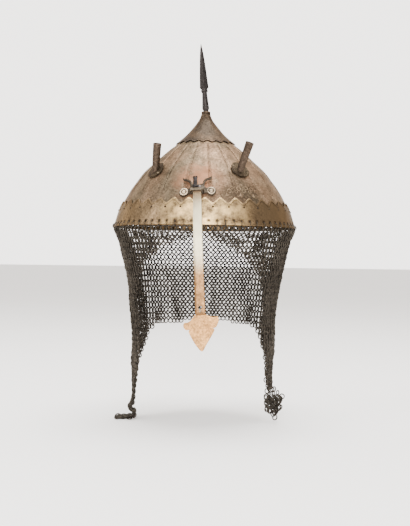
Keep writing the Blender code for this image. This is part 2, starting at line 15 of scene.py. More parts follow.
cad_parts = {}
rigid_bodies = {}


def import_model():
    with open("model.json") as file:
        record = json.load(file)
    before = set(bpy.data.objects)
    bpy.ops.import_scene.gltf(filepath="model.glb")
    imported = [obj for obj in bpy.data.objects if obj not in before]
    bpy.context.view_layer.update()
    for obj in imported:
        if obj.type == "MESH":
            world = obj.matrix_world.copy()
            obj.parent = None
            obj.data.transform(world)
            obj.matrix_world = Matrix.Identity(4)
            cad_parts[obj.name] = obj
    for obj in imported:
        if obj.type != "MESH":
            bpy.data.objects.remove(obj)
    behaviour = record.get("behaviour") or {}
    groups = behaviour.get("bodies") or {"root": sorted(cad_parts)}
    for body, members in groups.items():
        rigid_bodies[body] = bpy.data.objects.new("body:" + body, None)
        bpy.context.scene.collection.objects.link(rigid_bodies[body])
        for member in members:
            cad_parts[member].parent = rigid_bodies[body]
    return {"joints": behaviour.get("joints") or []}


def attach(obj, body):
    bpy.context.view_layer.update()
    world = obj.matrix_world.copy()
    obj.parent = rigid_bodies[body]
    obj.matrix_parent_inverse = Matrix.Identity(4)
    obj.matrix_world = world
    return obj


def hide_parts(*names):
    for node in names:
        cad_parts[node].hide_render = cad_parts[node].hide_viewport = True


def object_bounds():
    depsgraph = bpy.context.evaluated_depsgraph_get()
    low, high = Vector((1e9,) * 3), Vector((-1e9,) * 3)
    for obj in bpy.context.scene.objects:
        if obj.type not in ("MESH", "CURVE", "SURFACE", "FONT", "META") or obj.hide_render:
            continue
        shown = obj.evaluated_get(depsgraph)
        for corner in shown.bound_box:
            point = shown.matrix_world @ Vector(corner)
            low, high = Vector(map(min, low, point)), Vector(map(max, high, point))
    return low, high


bl_info = {
    "name": "Kulah Khud",
    "version": (1, 0, 0),
    "blender": (4, 5, 0),
    "location": "View3D > Sidebar > Kulah Khud",
    "description": "Builds the finished surfaces of a kulah khud helmet round its packed solids",
    "category": "Object",
}

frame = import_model()
CAD_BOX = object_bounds()
FLOOR = CAD_BOX[0].z

# The solids' own sizes, which the finished pieces keep
GAP = 0.0003
RIM_RADIUS = 0.1018
SKULL_HEIGHT = 0.1326
BOWL_WALL = 0.0016
BOWL_EDGE = 0.008
CROWN_OPENING = 0.1193
PANELS = 20
RIB_WIDTH = 0.0042
RIB_FOOT = 0.0340
RIB_RUNOUT = 0.0071
RIB_SEAT = 0.0004
BAND_WALL = 0.0009
BAND_TEETH = 36
BAND_PEAK = 0.0290
BAND_TOOTH = 0.0060
RIM_HOLES = 72
RIM_HOLE_HEIGHT = 0.0045
CAP_WALL = 0.0008
CAP_POINTS = 20
CAP_EDGE = 0.0960
CAP_POINT = 0.0025
SPIKE_HEIGHT = 0.0785
SPIKE_TANG = 0.0060
SPIKE_RADIUS = 0.0040
BLADE_FOOT = 0.0255
BLADE_WIDTH = 0.0102
BLADE_DEPTH = 0.0072
SPIKE_LEAN = radians(5.0)
TUBE_RADIUS = 0.0038
MOUTH_RADIUS = 0.0045
TUBE_WALL = 0.0010
PLATE_RADIUS = 0.0110
PLATE_WALL = 0.0011
PLATE_SCALLOPS = 8
SCALLOP_DEPTH = 0.0009
PLUME_RIVET_RADIUS = 0.0014
PLUME_RIVET_REACH = 0.0084
PLUME_RIVET_TURN = radians(-35)
BAR_ARC = 0.400
BAR_LEAN = radians(4.0)
STAPLE_HEIGHT = 0.0365
ARC_CENTRE_DROP = 0.1865
BAR_TOP_WIDTH = 0.0084
BAR_FOOT_WIDTH = 0.0102
BAR_THICKNESS = 0.0022
BAR_ABOVE_STAPLE = 0.0050
BAR_BELOW_STAPLE = 0.1342
BAR_HOLE_RADIUS = 0.0020
BAR_HOLE_RISE = 0.0070
SLIDE_CLEARANCE = 0.0005
LEAF_WIDTH = 0.0353
LEAF_LENGTH = 0.0362
LEAF_THICKNESS = 0.0016
LEAF_TONGUE = 0.0052
LEAF_NECK_WIDTH = 0.0086
LEAF_RIVET_RADIUS = 0.0015
LEAF_RIVET_RISE = 0.0033
STOP_WIDTH = 0.0062
STOP_HEIGHT = 0.0118
STOP_THICKNESS = 0.0026
STOP_SIDE = -0.0017
STOP_KNOB_RADIUS = 0.0021
BRACKET_WIDTH = 0.0367
BRACKET_HEIGHT = 0.0190
BRACKET_WALL = 0.0010
BRACKET_FOOT = 0.0298
STAPLE_THICKNESS = 0.0015
STAPLE_BREADTH = 0.0030
BRACKET_RIVET_RADIUS = 0.0021
BRACKET_RIVET_SPREAD = 0.0273
BRACKET_RIVET_HEIGHT = 0.0346
CURTAIN_DROP = 0.2150

Section = namedtuple("Section", "height radius")
Hem = namedtuple("Hem", "azimuth length")
Fold = namedtuple("Fold", "radius height")
Outline = namedtuple("Outline", "across along")
Holder = namedtuple("Holder", "side azimuth height lean forward reach")
Line = namedtuple("Line", "depth rise tone")

# Outer profile of the bowl: height as a share of SKULL_HEIGHT, radius of RIM_RADIUS
SKULL = (
    Section(0.000, 1.0000), Section(0.075, 0.9700), Section(0.150, 0.9380), Section(0.225, 0.8900),
    Section(0.310, 0.8270), Section(0.390, 0.7515), Section(0.475, 0.6640), Section(0.560, 0.5470),
    Section(0.635, 0.4420), Section(0.715, 0.3150), Section(0.800, 0.1945), Section(0.900, 0.0855),
    Section(0.950, 0.0510), Section(1.000, 0.0334),
)

# Spike below the blade: height as a share of SPIKE_HEIGHT, radius of SPIKE_RADIUS
SPIKE_STEM = (
    Section(0.345, 0.75), Section(0.338, 0.84), Section(0.330, 0.88), Section(0.306, 0.97), Section(0.294, 0.98),
    Section(0.284, 0.86), Section(0.279, 0.71), Section(0.265, 0.72), Section(0.210, 0.79), Section(0.155, 0.86),
    Section(0.100, 0.94), Section(0.057, 1.00), Section(0.042, 0.97), Section(0.030, 0.88), Section(0.016, 0.72),
    Section(0.008, 0.76),
)
SPIKE_BLADE = (
    Section(0.970, 0.09), Section(0.865, 0.29), Section(0.760, 0.43), Section(0.640, 0.56), Section(0.400, 0.76),
    Section(0.180, 0.91), Section(0.050, 1.00), Section(0.020, 0.94), Section(0.000, 0.55),
)

# Middle of the mail: depth below the rim as a share of the floor's, radius of RIM_RADIUS
MAIL = (
    Section(0.000, 0.996), Section(0.016, 0.988), Section(0.060, 0.945), Section(0.147, 0.899),
    Section(0.231, 0.855), Section(0.316, 0.823), Section(0.491, 0.785), Section(0.745, 0.768),
    Section(1.000, 0.768),
)

# Hem of each side: azimuth from the front in degrees, length below the rim as a share of CURTAIN_DROP
LEFT_HEMS = (
    Hem(0, 0.045), Hem(20, 0.085), Hem(34, 0.150), Hem(49, 0.240), Hem(57.6, 0.330), Hem(60.5, 0.540),
    Hem(64, 0.720), Hem(68, 0.860), Hem(70.5, 1.090), Hem(84, 1.090), Hem(86, 0.930), Hem(92, 0.850),
    Hem(100, 0.760), Hem(109, 0.660), Hem(119, 0.565), Hem(130, 0.520), Hem(140, 0.510), Hem(180, 0.500),
)
RIGHT_HEMS = (
    Hem(0, 0.045), Hem(20, 0.085), Hem(34, 0.150), Hem(49, 0.240), Hem(57, 0.340), Hem(58.5, 0.560),
    Hem(63, 0.630), Hem(67, 0.690), Hem(71.5, 0.770), Hem(73.5, 0.820), Hem(74.5, 0.930), Hem(77.5, 0.968),
    Hem(81, 0.945), Hem(84, 0.895), Hem(86, 0.835), Hem(95, 0.820), Hem(104, 0.785), Hem(113, 0.720),
    Hem(121, 0.640), Hem(130, 0.555), Hem(140, 0.515), Hem(180, 0.500),
)

# End of the left tail, bunched on the floor: radius as a share of RIM_RADIUS, height of the floor's
LEFT_FOLDS = (
    Fold(0.768, 0.870), Fold(0.778, 0.915), Fold(0.815, 0.936), Fold(0.800, 0.953), Fold(0.752, 0.966),
    Fold(0.755, 0.982), Fold(0.800, 0.990), Fold(0.870, 0.992), Fold(0.960, 0.992),
)

# End of the right tail, which hangs free and turns to face the front between these shares of the floor's
# depth
TAIL_PIVOT = radians(75)
TAIL_TURN = radians(-73)
TAIL_TURN_FROM = 0.822
TAIL_TURN_TO = 0.878

# Leaf, each side from the bar to the tip: across as a share of half its width, along of its length
LEAF_RIGHT = (
    Outline(0.31, 0.000), Outline(0.45, 0.040), Outline(0.73, 0.078), Outline(0.94, 0.062), Outline(1.00, 0.120),
    Outline(0.99, 0.206), Outline(0.85, 0.344), Outline(0.67, 0.389), Outline(0.75, 0.430), Outline(0.52, 0.622),
    Outline(0.26, 0.817),
)
LEAF_LEFT = (
    Outline(0.31, 0.000), Outline(0.40, 0.040), Outline(0.59, 0.150), Outline(0.78, 0.196), Outline(0.93, 0.198),
    Outline(1.00, 0.260), Outline(0.97, 0.344), Outline(0.84, 0.400), Outline(0.67, 0.394), Outline(0.71, 0.456),
    Outline(0.54, 0.650), Outline(0.29, 0.858),
)

# Bracket plate, right half: across as a share of half its width, along of its height, from the foot up
BRACKET = (
    Outline(0.22, 0.10), Outline(0.46, 0.15), Outline(0.62, 0.03), Outline(0.82, 0.00), Outline(1.00, 0.16),
    Outline(0.97, 0.36), Outline(0.78, 0.46), Outline(0.54, 0.42), Outline(0.42, 0.48), Outline(0.40, 0.62),
    Outline(0.48, 0.76), Outline(0.64, 0.84), Outline(0.82, 0.87), Outline(0.88, 1.00), Outline(0.70, 0.95),
    Outline(0.48, 0.90), Outline(0.34, 0.79), Outline(0.26, 0.66),
)
HOLDERS = (
    Holder("left", radians(-43.5), 0.0600, radians(6), radians(18), 0.0288),
    Holder("right", radians(37.0), 0.0605, radians(20), radians(16), 0.0305),
)

# Raised double lines: distance from the rib's middle as a share of half its width, or from the edge in mm,
# then the rise, and the painted shade (with some dirt) in the grooves and painted highlight on the crests:
# 0 dark, 0.5 plain, 1 bright
RIB_LINES = (
    Line(0, 0.16, 0.22), Line(0.28, 0.20, 0.30), Line(0.50, 0.50, 1.0), Line(0.68, 0.10, 0.35),
    Line(0.84, -0.12, 0.02), Line(1.15, 0, 0.5),
)
EDGE_LINES = (
    Line(0, 0.0, 0.0), Line(0.6, 0.34, 0.95), Line(1.15, 0.0, 0.04), Line(1.7, 0.32, 0.9),
    Line(2.3, 0.0, 0.08), Line(3.1, 0.0, 0.5),
)

# Attribute that keeps a sheet's painted shade and highlight, and what worn iron reflects at a grazing angle
SHADE_AND_HIGHLIGHT = "tone"
EDGE_TINT = (0.42, 0.38, 0.34)


# Shapes


def smooth(table, share):
    """The table's second column at this share of its first, on a curve through its rows."""
    index = 0
    while index < len(table) - 2 and share > table[index + 1][0]:
        index += 1
    (low, start), (high, end) = table[index], table[index + 1]
    before = table[index - 1] if index else table[index]
    after = table[min(index + 2, len(table) - 1)]
    part = min(max((share - low) / (high - low), 0), 1)
    leaving = (end - before[1]) / (high - before[0]) * (high - low)
    arriving = (after[1] - start) / (after[0] - low) * (high - low)
    square, cube = part * part, part * part * part
    return (
        (2 * cube - 3 * square + 1) * start + (cube - 2 * square + part) * leaving
        + (3 * square - 2 * cube) * end + (cube - square) * arriving
    )


def straight(table, share, column=1):
    """A column of the table at this share of its first, on straight lines between its rows."""
    for low, high in zip(table, table[1:]):
        if share <= high[0]:
            part = max((share - low[0]) / (high[0] - low[0]), 0)
            return low[column] + part * (high[column] - low[column])
    return table[-1][column]


def skull_radius(height):
    return RIM_RADIUS * smooth(SKULL, height / SKULL_HEIGHT)


def profile_normal(height):
    """The bowl's normal at this height, as its radial and its upward part."""
    reach = 0.02 * SKULL_HEIGHT
    low, high = max(height - reach, 0), min(height + reach, SKULL_HEIGHT)
    slope = (skull_radius(high) - skull_radius(low)) / (high - low)
    return 1 / hypot(1, slope), -slope / hypot(1, slope)


def around(azimuth, radius, height):
    """A point at this azimuth, counted from the front towards +X."""
    return Vector((radius * sin(azimuth), -radius * cos(azimuth), height))


def dent(azimuth, height):
    """How far the hammered iron stands off its true profile. All that lies on the bowl follows it."""
    place = around(azimuth, skull_radius(height), height)
    depth = bpy.context.scene.kulah_khud_shape.dents
    return depth * (noise.noise(place * 42) + 0.35 * noise.noise(place * 120 + Vector((3, 1, 7))))


def over_skull(azimuth, height, offset):
    """A point this far off the dented bowl, along its normal."""
    outward, upward = profile_normal(height)
    offset += dent(azimuth, height)
    return around(azimuth, skull_radius(height) + offset * outward, height + offset * upward)


def skull_normal(azimuth, height):
    outward, upward = profile_normal(height)
    return around(azimuth, outward, upward)


def slide_to_skull(point, direction, offset):
    """The point moved along the direction until it lies this far off the bowl."""
    point = Vector(point)
    for _ in range(20):
        azimuth = atan2(point.x, -point.y)
        normal = skull_normal(azimuth, point.z)
        excess = (hypot(point.x, point.y) - skull_radius(point.z)) * profile_normal(point.z)[0] - offset
        point -= direction * (excess / direction.dot(normal))
    return point


def facing(point, normal):
    """A frame at the point whose Z is the normal."""
    return Matrix.Translation(point) @ normal.to_track_quat("Z", "Y").to_matrix().to_4x4()


def mesh_of(name, shape, outward=False):
    """The bmesh as a new mesh, its doubled points merged and, where asked, its normals turned outward."""
    bmesh.ops.remove_doubles(shape, verts=shape.verts, dist=1e-6)
    if outward:
        bmesh.ops.recalc_face_normals(shape, faces=shape.faces)
    mesh = bpy.data.meshes.new(name)
    shape.to_mesh(mesh)
    shape.free()
    return mesh


def sheet(name, columns, rows, place, tone=None):
    """A grid of columns and rows whose points go to place(column, row), its normals facing out. Where a tone is
    given, its points keep tone(column, row), the painted shade and highlight that the finish reads."""
    shape = bmesh.new()
    bmesh.ops.create_grid(shape, x_segments=columns, y_segments=rows, size=0.5)
    shade_and_highlight_layer = shape.verts.layers.float.new(SHADE_AND_HIGHLIGHT) if tone else None
    for point in shape.verts:
        column, row = round((point.co.x + 0.5) * columns), round((0.5 - point.co.y) * rows)
        point.co = place(column, row)
        if tone:
            point[shade_and_highlight_layer] = tone(column, row)
    return mesh_of(name, shape)


def turned(shape, profile, steps):
    """A profile of (radius, height) points, top to bottom, turned about Z in the bmesh."""
    points = [shape.verts.new((radius, 0, height)) for radius, height in profile]
    edges = [shape.edges.new(pair) for pair in zip(points, points[1:])]
    bmesh.ops.spin(
        shape, geom=points + edges, cent=(0, 0, 0), axis=(0, 0, 1), angle=2 * pi, steps=steps, use_merge=True
    )
    bmesh.ops.remove_doubles(shape, verts=shape.verts, dist=1e-6)


def turned_mesh(name, profile, steps):
    shape = bmesh.new()
    turned(shape, profile, steps)
    return mesh_of(name, shape, outward=True)


def ring_mesh(name, radius, wire, steps, sides):
    """A round ring in XY with its hole along Z."""
    shape = bmesh.new()
    upright = Matrix.Translation((radius, 0, 0)) @ Matrix.Rotation(pi / 2, 4, "X")
    bmesh.ops.create_circle(shape, segments=sides, radius=wire / 2, matrix=upright)
    bmesh.ops.spin(
        shape, geom=shape.verts[:] + shape.edges[:], cent=(0, 0, 0), axis=(0, 0, 1), angle=2 * pi,
        steps=steps, use_merge=True,
    )
    return mesh_of(name, shape, outward=True)


def joined(name, unit, frames):
    """One mesh from copies of a small one, each placed by its frame."""
    points = np.empty(len(unit.vertices) * 3)
    unit.vertices.foreach_get("co", points)
    corners = np.empty(len(unit.loops), np.int32)
    unit.loops.foreach_get("vertex_index", corners)
    starts = np.empty(len(unit.polygons), np.int32)
    unit.polygons.foreach_get("loop_start", starts)
    points = points.reshape(-1, 3)
    frames = np.array([[list(row) for row in item] for item in frames])
    count = len(frames)
    placed = np.einsum("nij,vj->nvi", frames[:, :3, :3], points) + frames[:, None, :3, 3]
    copies = np.arange(count)[:, None]
    mesh = bpy.data.meshes.new(name)
    mesh.vertices.add(count * len(points))
    mesh.vertices.foreach_set("co", placed.ravel())
    mesh.loops.add(count * len(corners))
    mesh.loops.foreach_set("vertex_index", (corners[None] + copies * len(points)).ravel())
    mesh.polygons.add(count * len(starts))
    mesh.polygons.foreach_set("loop_start", (starts[None] + copies * len(corners)).ravel())
    mesh.update(calc_edges=True)
    mesh.validate()
    bpy.data.meshes.remove(unit)
    return mesh


def rounded(points, parts):
    """A closed outline with a curve through its points."""
    count = len(points)
    found = []
    for index in range(count):
        a, b, c, d = (Vector(points[(index + k) % count]) for k in (-1, 0, 1, 2))
        for step in range(parts):
            t = step / parts
            bend, twist = 2 * a - 5 * b + 4 * c - d, 3 * b - a - 3 * c + d
            found.append(0.5 * (2 * b + (c - a) * t + bend * t ** 2 + twist * t ** 3))
    return found


def filled(points, half_thickness=0.0):
    """A flat outline in XY as a filled bmesh, extruded by half its thickness either way."""
    shape = bmesh.new()
    corners = [shape.verts.new((across, along, -half_thickness)) for across, along in points]
    face = shape.faces.new(corners)
    if half_thickness:
        top = bmesh.ops.extrude_face_region(shape, geom=[face])["geom"]
        moved = [item for item in top if isinstance(item, bmesh.types.BMVert)]
        bmesh.ops.translate(shape, verts=moved, vec=(0, 0, 2 * half_thickness))
    return shape


def two_sided(right, left, half_width, length):
    """A closed outline from the shares of its sides, along the right one and back on the left one."""
    return [(row.across * half_width, row.along * length) for row in right] + [
        (-row.across * half_width, row.along * length) for row in reversed(left)
    ]


def add(name, mesh, material, body="shell", stands_for=(), crease=35):
    """A new piece with its material, riding on its body in place of the solids that it stands for."""
    piece = bpy.data.objects.new(name, mesh)
    bpy.context.scene.collection.objects.link(piece)
    mesh.materials.clear()
    mesh.materials.append(material)
    mesh.shade_smooth()
    if crease:
        mesh.set_sharp_from_angle(angle=radians(crease))
    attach(piece, body)
    if stands_for:
        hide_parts(*stands_for)
    return piece


def thicken(piece, wall):
    """A wall inside the sheet's surface."""
    solidify = piece.modifiers.new("Wall", "SOLIDIFY")
    solidify.thickness = wall
    solidify.offset = -1
    solidify.use_even_offset = True


def soften(piece, width, segments=2, angle=30):
    bevel = piece.modifiers.new("Soft edges", "BEVEL")
    bevel.width = width
    bevel.segments = segments
    bevel.limit_method = "ANGLE"
    bevel.angle_limit = radians(angle)


def subdivide(piece, levels=1):
    subdivision = piece.modifiers.new("Fine surface", "SUBSURF")
    subdivision.levels = subdivision.render_levels = levels


# Finishes


def node(tree, kind, settings=None, **inputs):
    """A shader node with its settings, and its inputs linked or set by name."""
    made = tree.nodes.new(kind)
    for name, value in (settings or {}).items():
        setattr(made, name, value)
    for name, value in inputs.items():
        socket = made.inputs[name.replace("_", " ")]
        if isinstance(value, bpy.types.NodeSocket):
            tree.links.new(value, socket)
        else:
            socket.default_value = value
    return made


def objects_space(tree, stretch=(1, 1, 1)):
    place = node(tree, "ShaderNodeTexCoord").outputs["Object"]
    return node(tree, "ShaderNodeMapping", Vector=place, Scale=stretch).outputs["Vector"]


def cloud(tree, place, scale, detail=5.0, rough=0.55):
    return node(
        tree, "ShaderNodeTexNoise", Vector=place, Scale=scale, Detail=detail, Roughness=rough
    ).outputs["Fac"]


def ramp(tree, factor, *stops):
    """A colour ramp over (position, colour) stops, a bare number being a grey."""
    made = node(tree, "ShaderNodeValToRGB", Fac=factor)
    elements = made.color_ramp.elements
    while len(elements) < len(stops):
        elements.new(0.5)
    for element, (position, colour) in zip(elements, stops):
        element.position = position
        element.color = (colour, colour, colour, 1) if isinstance(colour, (int, float)) else (*colour, 1)
    return made.outputs["Color"]


def mixed(tree, factor, first, second, blend="MIX"):
    made = node(tree, "ShaderNodeMix", {"data_type": "RGBA", "blend_type": blend})
    for socket, value in zip((made.inputs[0], made.inputs[6], made.inputs[7]), (factor, first, second)):
        if isinstance(value, bpy.types.NodeSocket):
            tree.links.new(value, socket)
        else:
            socket.default_value = value if isinstance(value, (int, float)) else (*value, 1)
    return made.outputs[2]


def near(tree, centre, reach, softness):
    """One round a point on the object, falling to nothing beyond its reach."""
    place = node(tree, "ShaderNodeTexCoord").outputs["Object"]
    away = node(tree, "ShaderNodeVectorMath", {"operation": "DISTANCE"})
    tree.links.new(place, away.inputs[0])
    away.inputs[1].default_value = centre
    made = node(
        tree, "ShaderNodeMapRange", {"interpolation_type": "SMOOTHSTEP"}, Value=away.outputs["Value"],
        From_Min=reach, From_Max=reach + softness, To_Min=1.0, To_Max=0.0,
    )
    return made.outputs["Result"]


def bumped(tree, shader, *layers):
    """Bump layers of (height, strength, distance), each over the one before."""
    normal = None
    for height, strength, distance in layers:
        bump = node(tree, "ShaderNodeBump", Height=height, Strength=strength, Distance=distance)
        if normal:
            tree.links.new(normal, bump.inputs["Normal"])
        normal = bump.outputs["Normal"]
    tree.links.new(normal, shader.inputs["Normal"])


def finish(name, metallic, roughness=None):
    material = bpy.data.materials.new(name)
    material.use_nodes = True
    shader = material.node_tree.nodes["Principled BSDF"]
    shader.inputs["Metallic"].default_value = metallic
    if roughness is not None:
        shader.inputs["Roughness"].default_value = roughness
    return material, material.node_tree, shader


def darker(colour, share):
    return tuple(share * part for part in colour)


def worn_iron(
    name, colour, warm, dark, stretch=(1, 1, 0.35), metallic=0.8, roughness=(0.36, 0.6), pits=0.00012, streaks=0.0
):
    """Old iron: clouds of a cold and a warm patina, dark stains and pits, upright streaks and a fine grain."""
    material, tree, shader = finish(name, metallic)
    shader.inputs["Specular Tint"].default_value = (*EDGE_TINT, 1)
    streaked = objects_space(tree, stretch)
    plain = objects_space(tree)
    patches = ramp(tree, cloud(tree, streaked, 26, 6), (0.42, 0), (0.62, 1))
    tone = mixed(tree, patches, colour, warm)
    stains = ramp(tree, cloud(tree, plain, 75, 9, 0.68), (0.52, 0), (0.72, 0.75))
    tone = mixed(tree, stains, tone, dark)
    if streaks:
        drawn = cloud(tree, objects_space(tree, (1, 1, 0.10)), 120, 5, 0.6)
        tone = mixed(tree, 1.0, tone, ramp(tree, drawn, (0.32, 1 - streaks), (0.68, 1 + streaks)), "MULTIPLY")
    grain = ramp(tree, cloud(tree, plain, 480, 4, 0.65), (0.34, 0.5), (0.66, 1.4))
    tone = mixed(tree, 1.0, tone, grain, "MULTIPLY")
    tree.links.new(tone, shader.inputs["Base Color"])
    rough = ramp(tree, cloud(tree, plain, 90, 7), (0.3, roughness[0]), (0.7, roughness[1]))
    tree.links.new(rough, shader.inputs["Roughness"])
    bumped(
        tree, shader, (cloud(tree, plain, 160, 6, 0.6), 0.45, 0.0004), (cloud(tree, plain, 900, 3), 0.5, pits)
    )
    return material, tree, shader, tone


def retone(material_parts, factor, colour):
    """Lays one more tone over a worn iron."""
    material, tree, shader, tone = material_parts
    tone = mixed(tree, factor, tone, colour)
    tree.links.new(tone, shader.inputs["Base Color"])
    return material, tree, shader, tone


def patchy(tree, factor, scale, low, high):
    """The factor broken up by a cloud, which lets none of it through below low and all above high."""
    made = node(tree, "ShaderNodeMath", {"operation": "MULTIPLY", "use_clamp": True})
    tree.links.new(factor, made.inputs[0])
    tree.links.new(
        ramp(tree, cloud(tree, objects_space(tree), scale, 7, 0.65), (low, 0), (high, 1)), made.inputs[1]
    )
    return made.outputs[0]


def lined(material_parts):
    """Paints shade into the grooves and highlight onto the crests of a sheet's raised lines."""
    material, tree, shader, tone = material_parts
    lines = node(tree, "ShaderNodeAttribute", {"attribute_name": SHADE_AND_HIGHLIGHT, "attribute_type": "GEOMETRY"})
    made = node(tree, "ShaderNodeMapRange", Value=lines.outputs["Fac"], To_Min=0.18, To_Max=1.82)
    tone = mixed(tree, 1.0, tone, made.outputs["Result"], "MULTIPLY")
    tree.links.new(tone, shader.inputs["Base Color"])
    return material, tree, shader, tone


# Sizes and colours that a user would change


def length_value(name, description, default, low, high):
    return FloatProperty(
        name=name, description=description, default=default, min=low, max=high, precision=5,
        subtype="DISTANCE", unit="LENGTH",
    )


def colour_value(name, description, default):
    return FloatVectorProperty(
        name=name, description=description, default=default, min=0.0, max=1.0, size=3, subtype="COLOR"
    )


class KulahKhudShape(bpy.types.PropertyGroup):
    """Sizes of the relief and of the mail"""

    dents: length_value("Dents", "How far the hammered iron stands off its true profile", 0.00045, 0, 0.001)
    line_rise: length_value("Line rise", "Height of the raised double lines, for a share of one", 0.00105, 0, 0.002)
    ring_radius: length_value("Ring radius", "Radius of a mail ring, to the middle of its wire", 0.0027, 0.002, 0.004)
    ring_wire: length_value("Ring wire", "Thickness of a mail ring's wire", 0.0014, 0.0005, 0.0018)
    row_drop: length_value("Row drop", "Height from one row of mail to the next", 0.0032, 0.002, 0.005)
    ring_turn: FloatProperty(
        name="Ring turn", description="How far each ring is turned out of the curtain", default=radians(24),
        min=0.0, max=radians(60), subtype="ANGLE", unit="ROTATION",
    )
    rings_round: IntProperty(
        name="Rings round", description="Mail rings in one full row", default=108, min=60, max=160
    )


class KulahKhudColours(bpy.types.PropertyGroup):
    """Colours of the finishes"""

    iron: colour_value("Bowl iron", "Brown-grey patina of the bowl", (0.130, 0.096, 0.060))
    warm: colour_value("Warm patches", "Pinkish tan patches of the bowl", (0.190, 0.120, 0.072))
    pink: colour_value("Pink patches", "Bare patches of the bowl over the bracket", (0.230, 0.112, 0.060))
    stain: colour_value("Stains", "Dark stains and pits", (0.032, 0.023, 0.015))
    # Brassy wear at the band's front together with a painted highlight
    gold_wear_and_highlight: colour_value("Band front", "Pale, brassy wear at the front of the band", (0.98, 0.66, 0.29))
    band: colour_value("Band sides", "Brown patina at the sides of the band", (0.130, 0.086, 0.046))
    cap: colour_value("Apex cap", "Tan-grey patina of the apex cap", (0.050, 0.037, 0.026))
    spike: colour_value("Spike", "Dark forged iron of the spike", (0.030, 0.026, 0.025))
    holder: colour_value("Plume holders", "Brown iron of the plume holders", (0.050, 0.035, 0.025))
    bracket: colour_value("Bracket", "Dark steel of the nasal's bracket", (0.050, 0.039, 0.028))
    rivet: colour_value("Rivets", "Bright rivet heads", (0.66, 0.52, 0.36))
    bar: colour_value("Nasal bar", "Tan steel of the nasal bar", (0.22, 0.112, 0.045))
    # Colour of the painted highlight on the nasal bar's upper part, where it faces the lights
    pale: colour_value("Bar wear", "Bright wear on the nasal bar", (1.0, 0.89, 0.60))
    leaf: colour_value("Leaf", "Speckled beige of the nasal's leaf", (0.64, 0.325, 0.115))
    mail: colour_value("Mail", "Grey-brown iron of the mail rings", (0.046, 0.040, 0.033))
    floor: colour_value("Floor", "Pale floor", (0.94, 0.920, 0.895))


class KulahKhudStage(bpy.types.PropertyGroup):
    """Camera and light"""

    distance: length_value("Camera distance", "From the helmet's axis to the camera", 1.022, 0.3, 5.0)
    camera_height: FloatProperty(
        name="Camera height", description="Height of the camera above the rim", default=-0.039, min=-0.2, max=1.0,
        subtype="DISTANCE", unit="LENGTH",
    )
    key_power: FloatProperty(
        name="Front light", description="Power of the wide light above the camera", default=38.0, min=0.0,
        max=400.0, subtype="POWER", unit="POWER",
    )
    top_power: FloatProperty(
        name="Top light", description="Power of the soft light overhead", default=66.0, min=0.0, max=400.0,
        subtype="POWER", unit="POWER",
    )
    studio: FloatProperty(
        name="Backdrop", description="Strength of the bright wall behind the helmet", default=3.7, min=0.0, max=20.0
    )
    room: FloatProperty(
        name="Room", description="Strength of the even light of the rest of the room", default=0.9, min=0.0, max=10.0
    )


# Pieces


class BuildPiece:
    """What the builders share"""

    bl_options = {"REGISTER", "UNDO"}

    def execute(self, context):
        self.build(context.scene.kulah_khud_shape, context.scene.kulah_khud_colours)
        return {"FINISHED"}


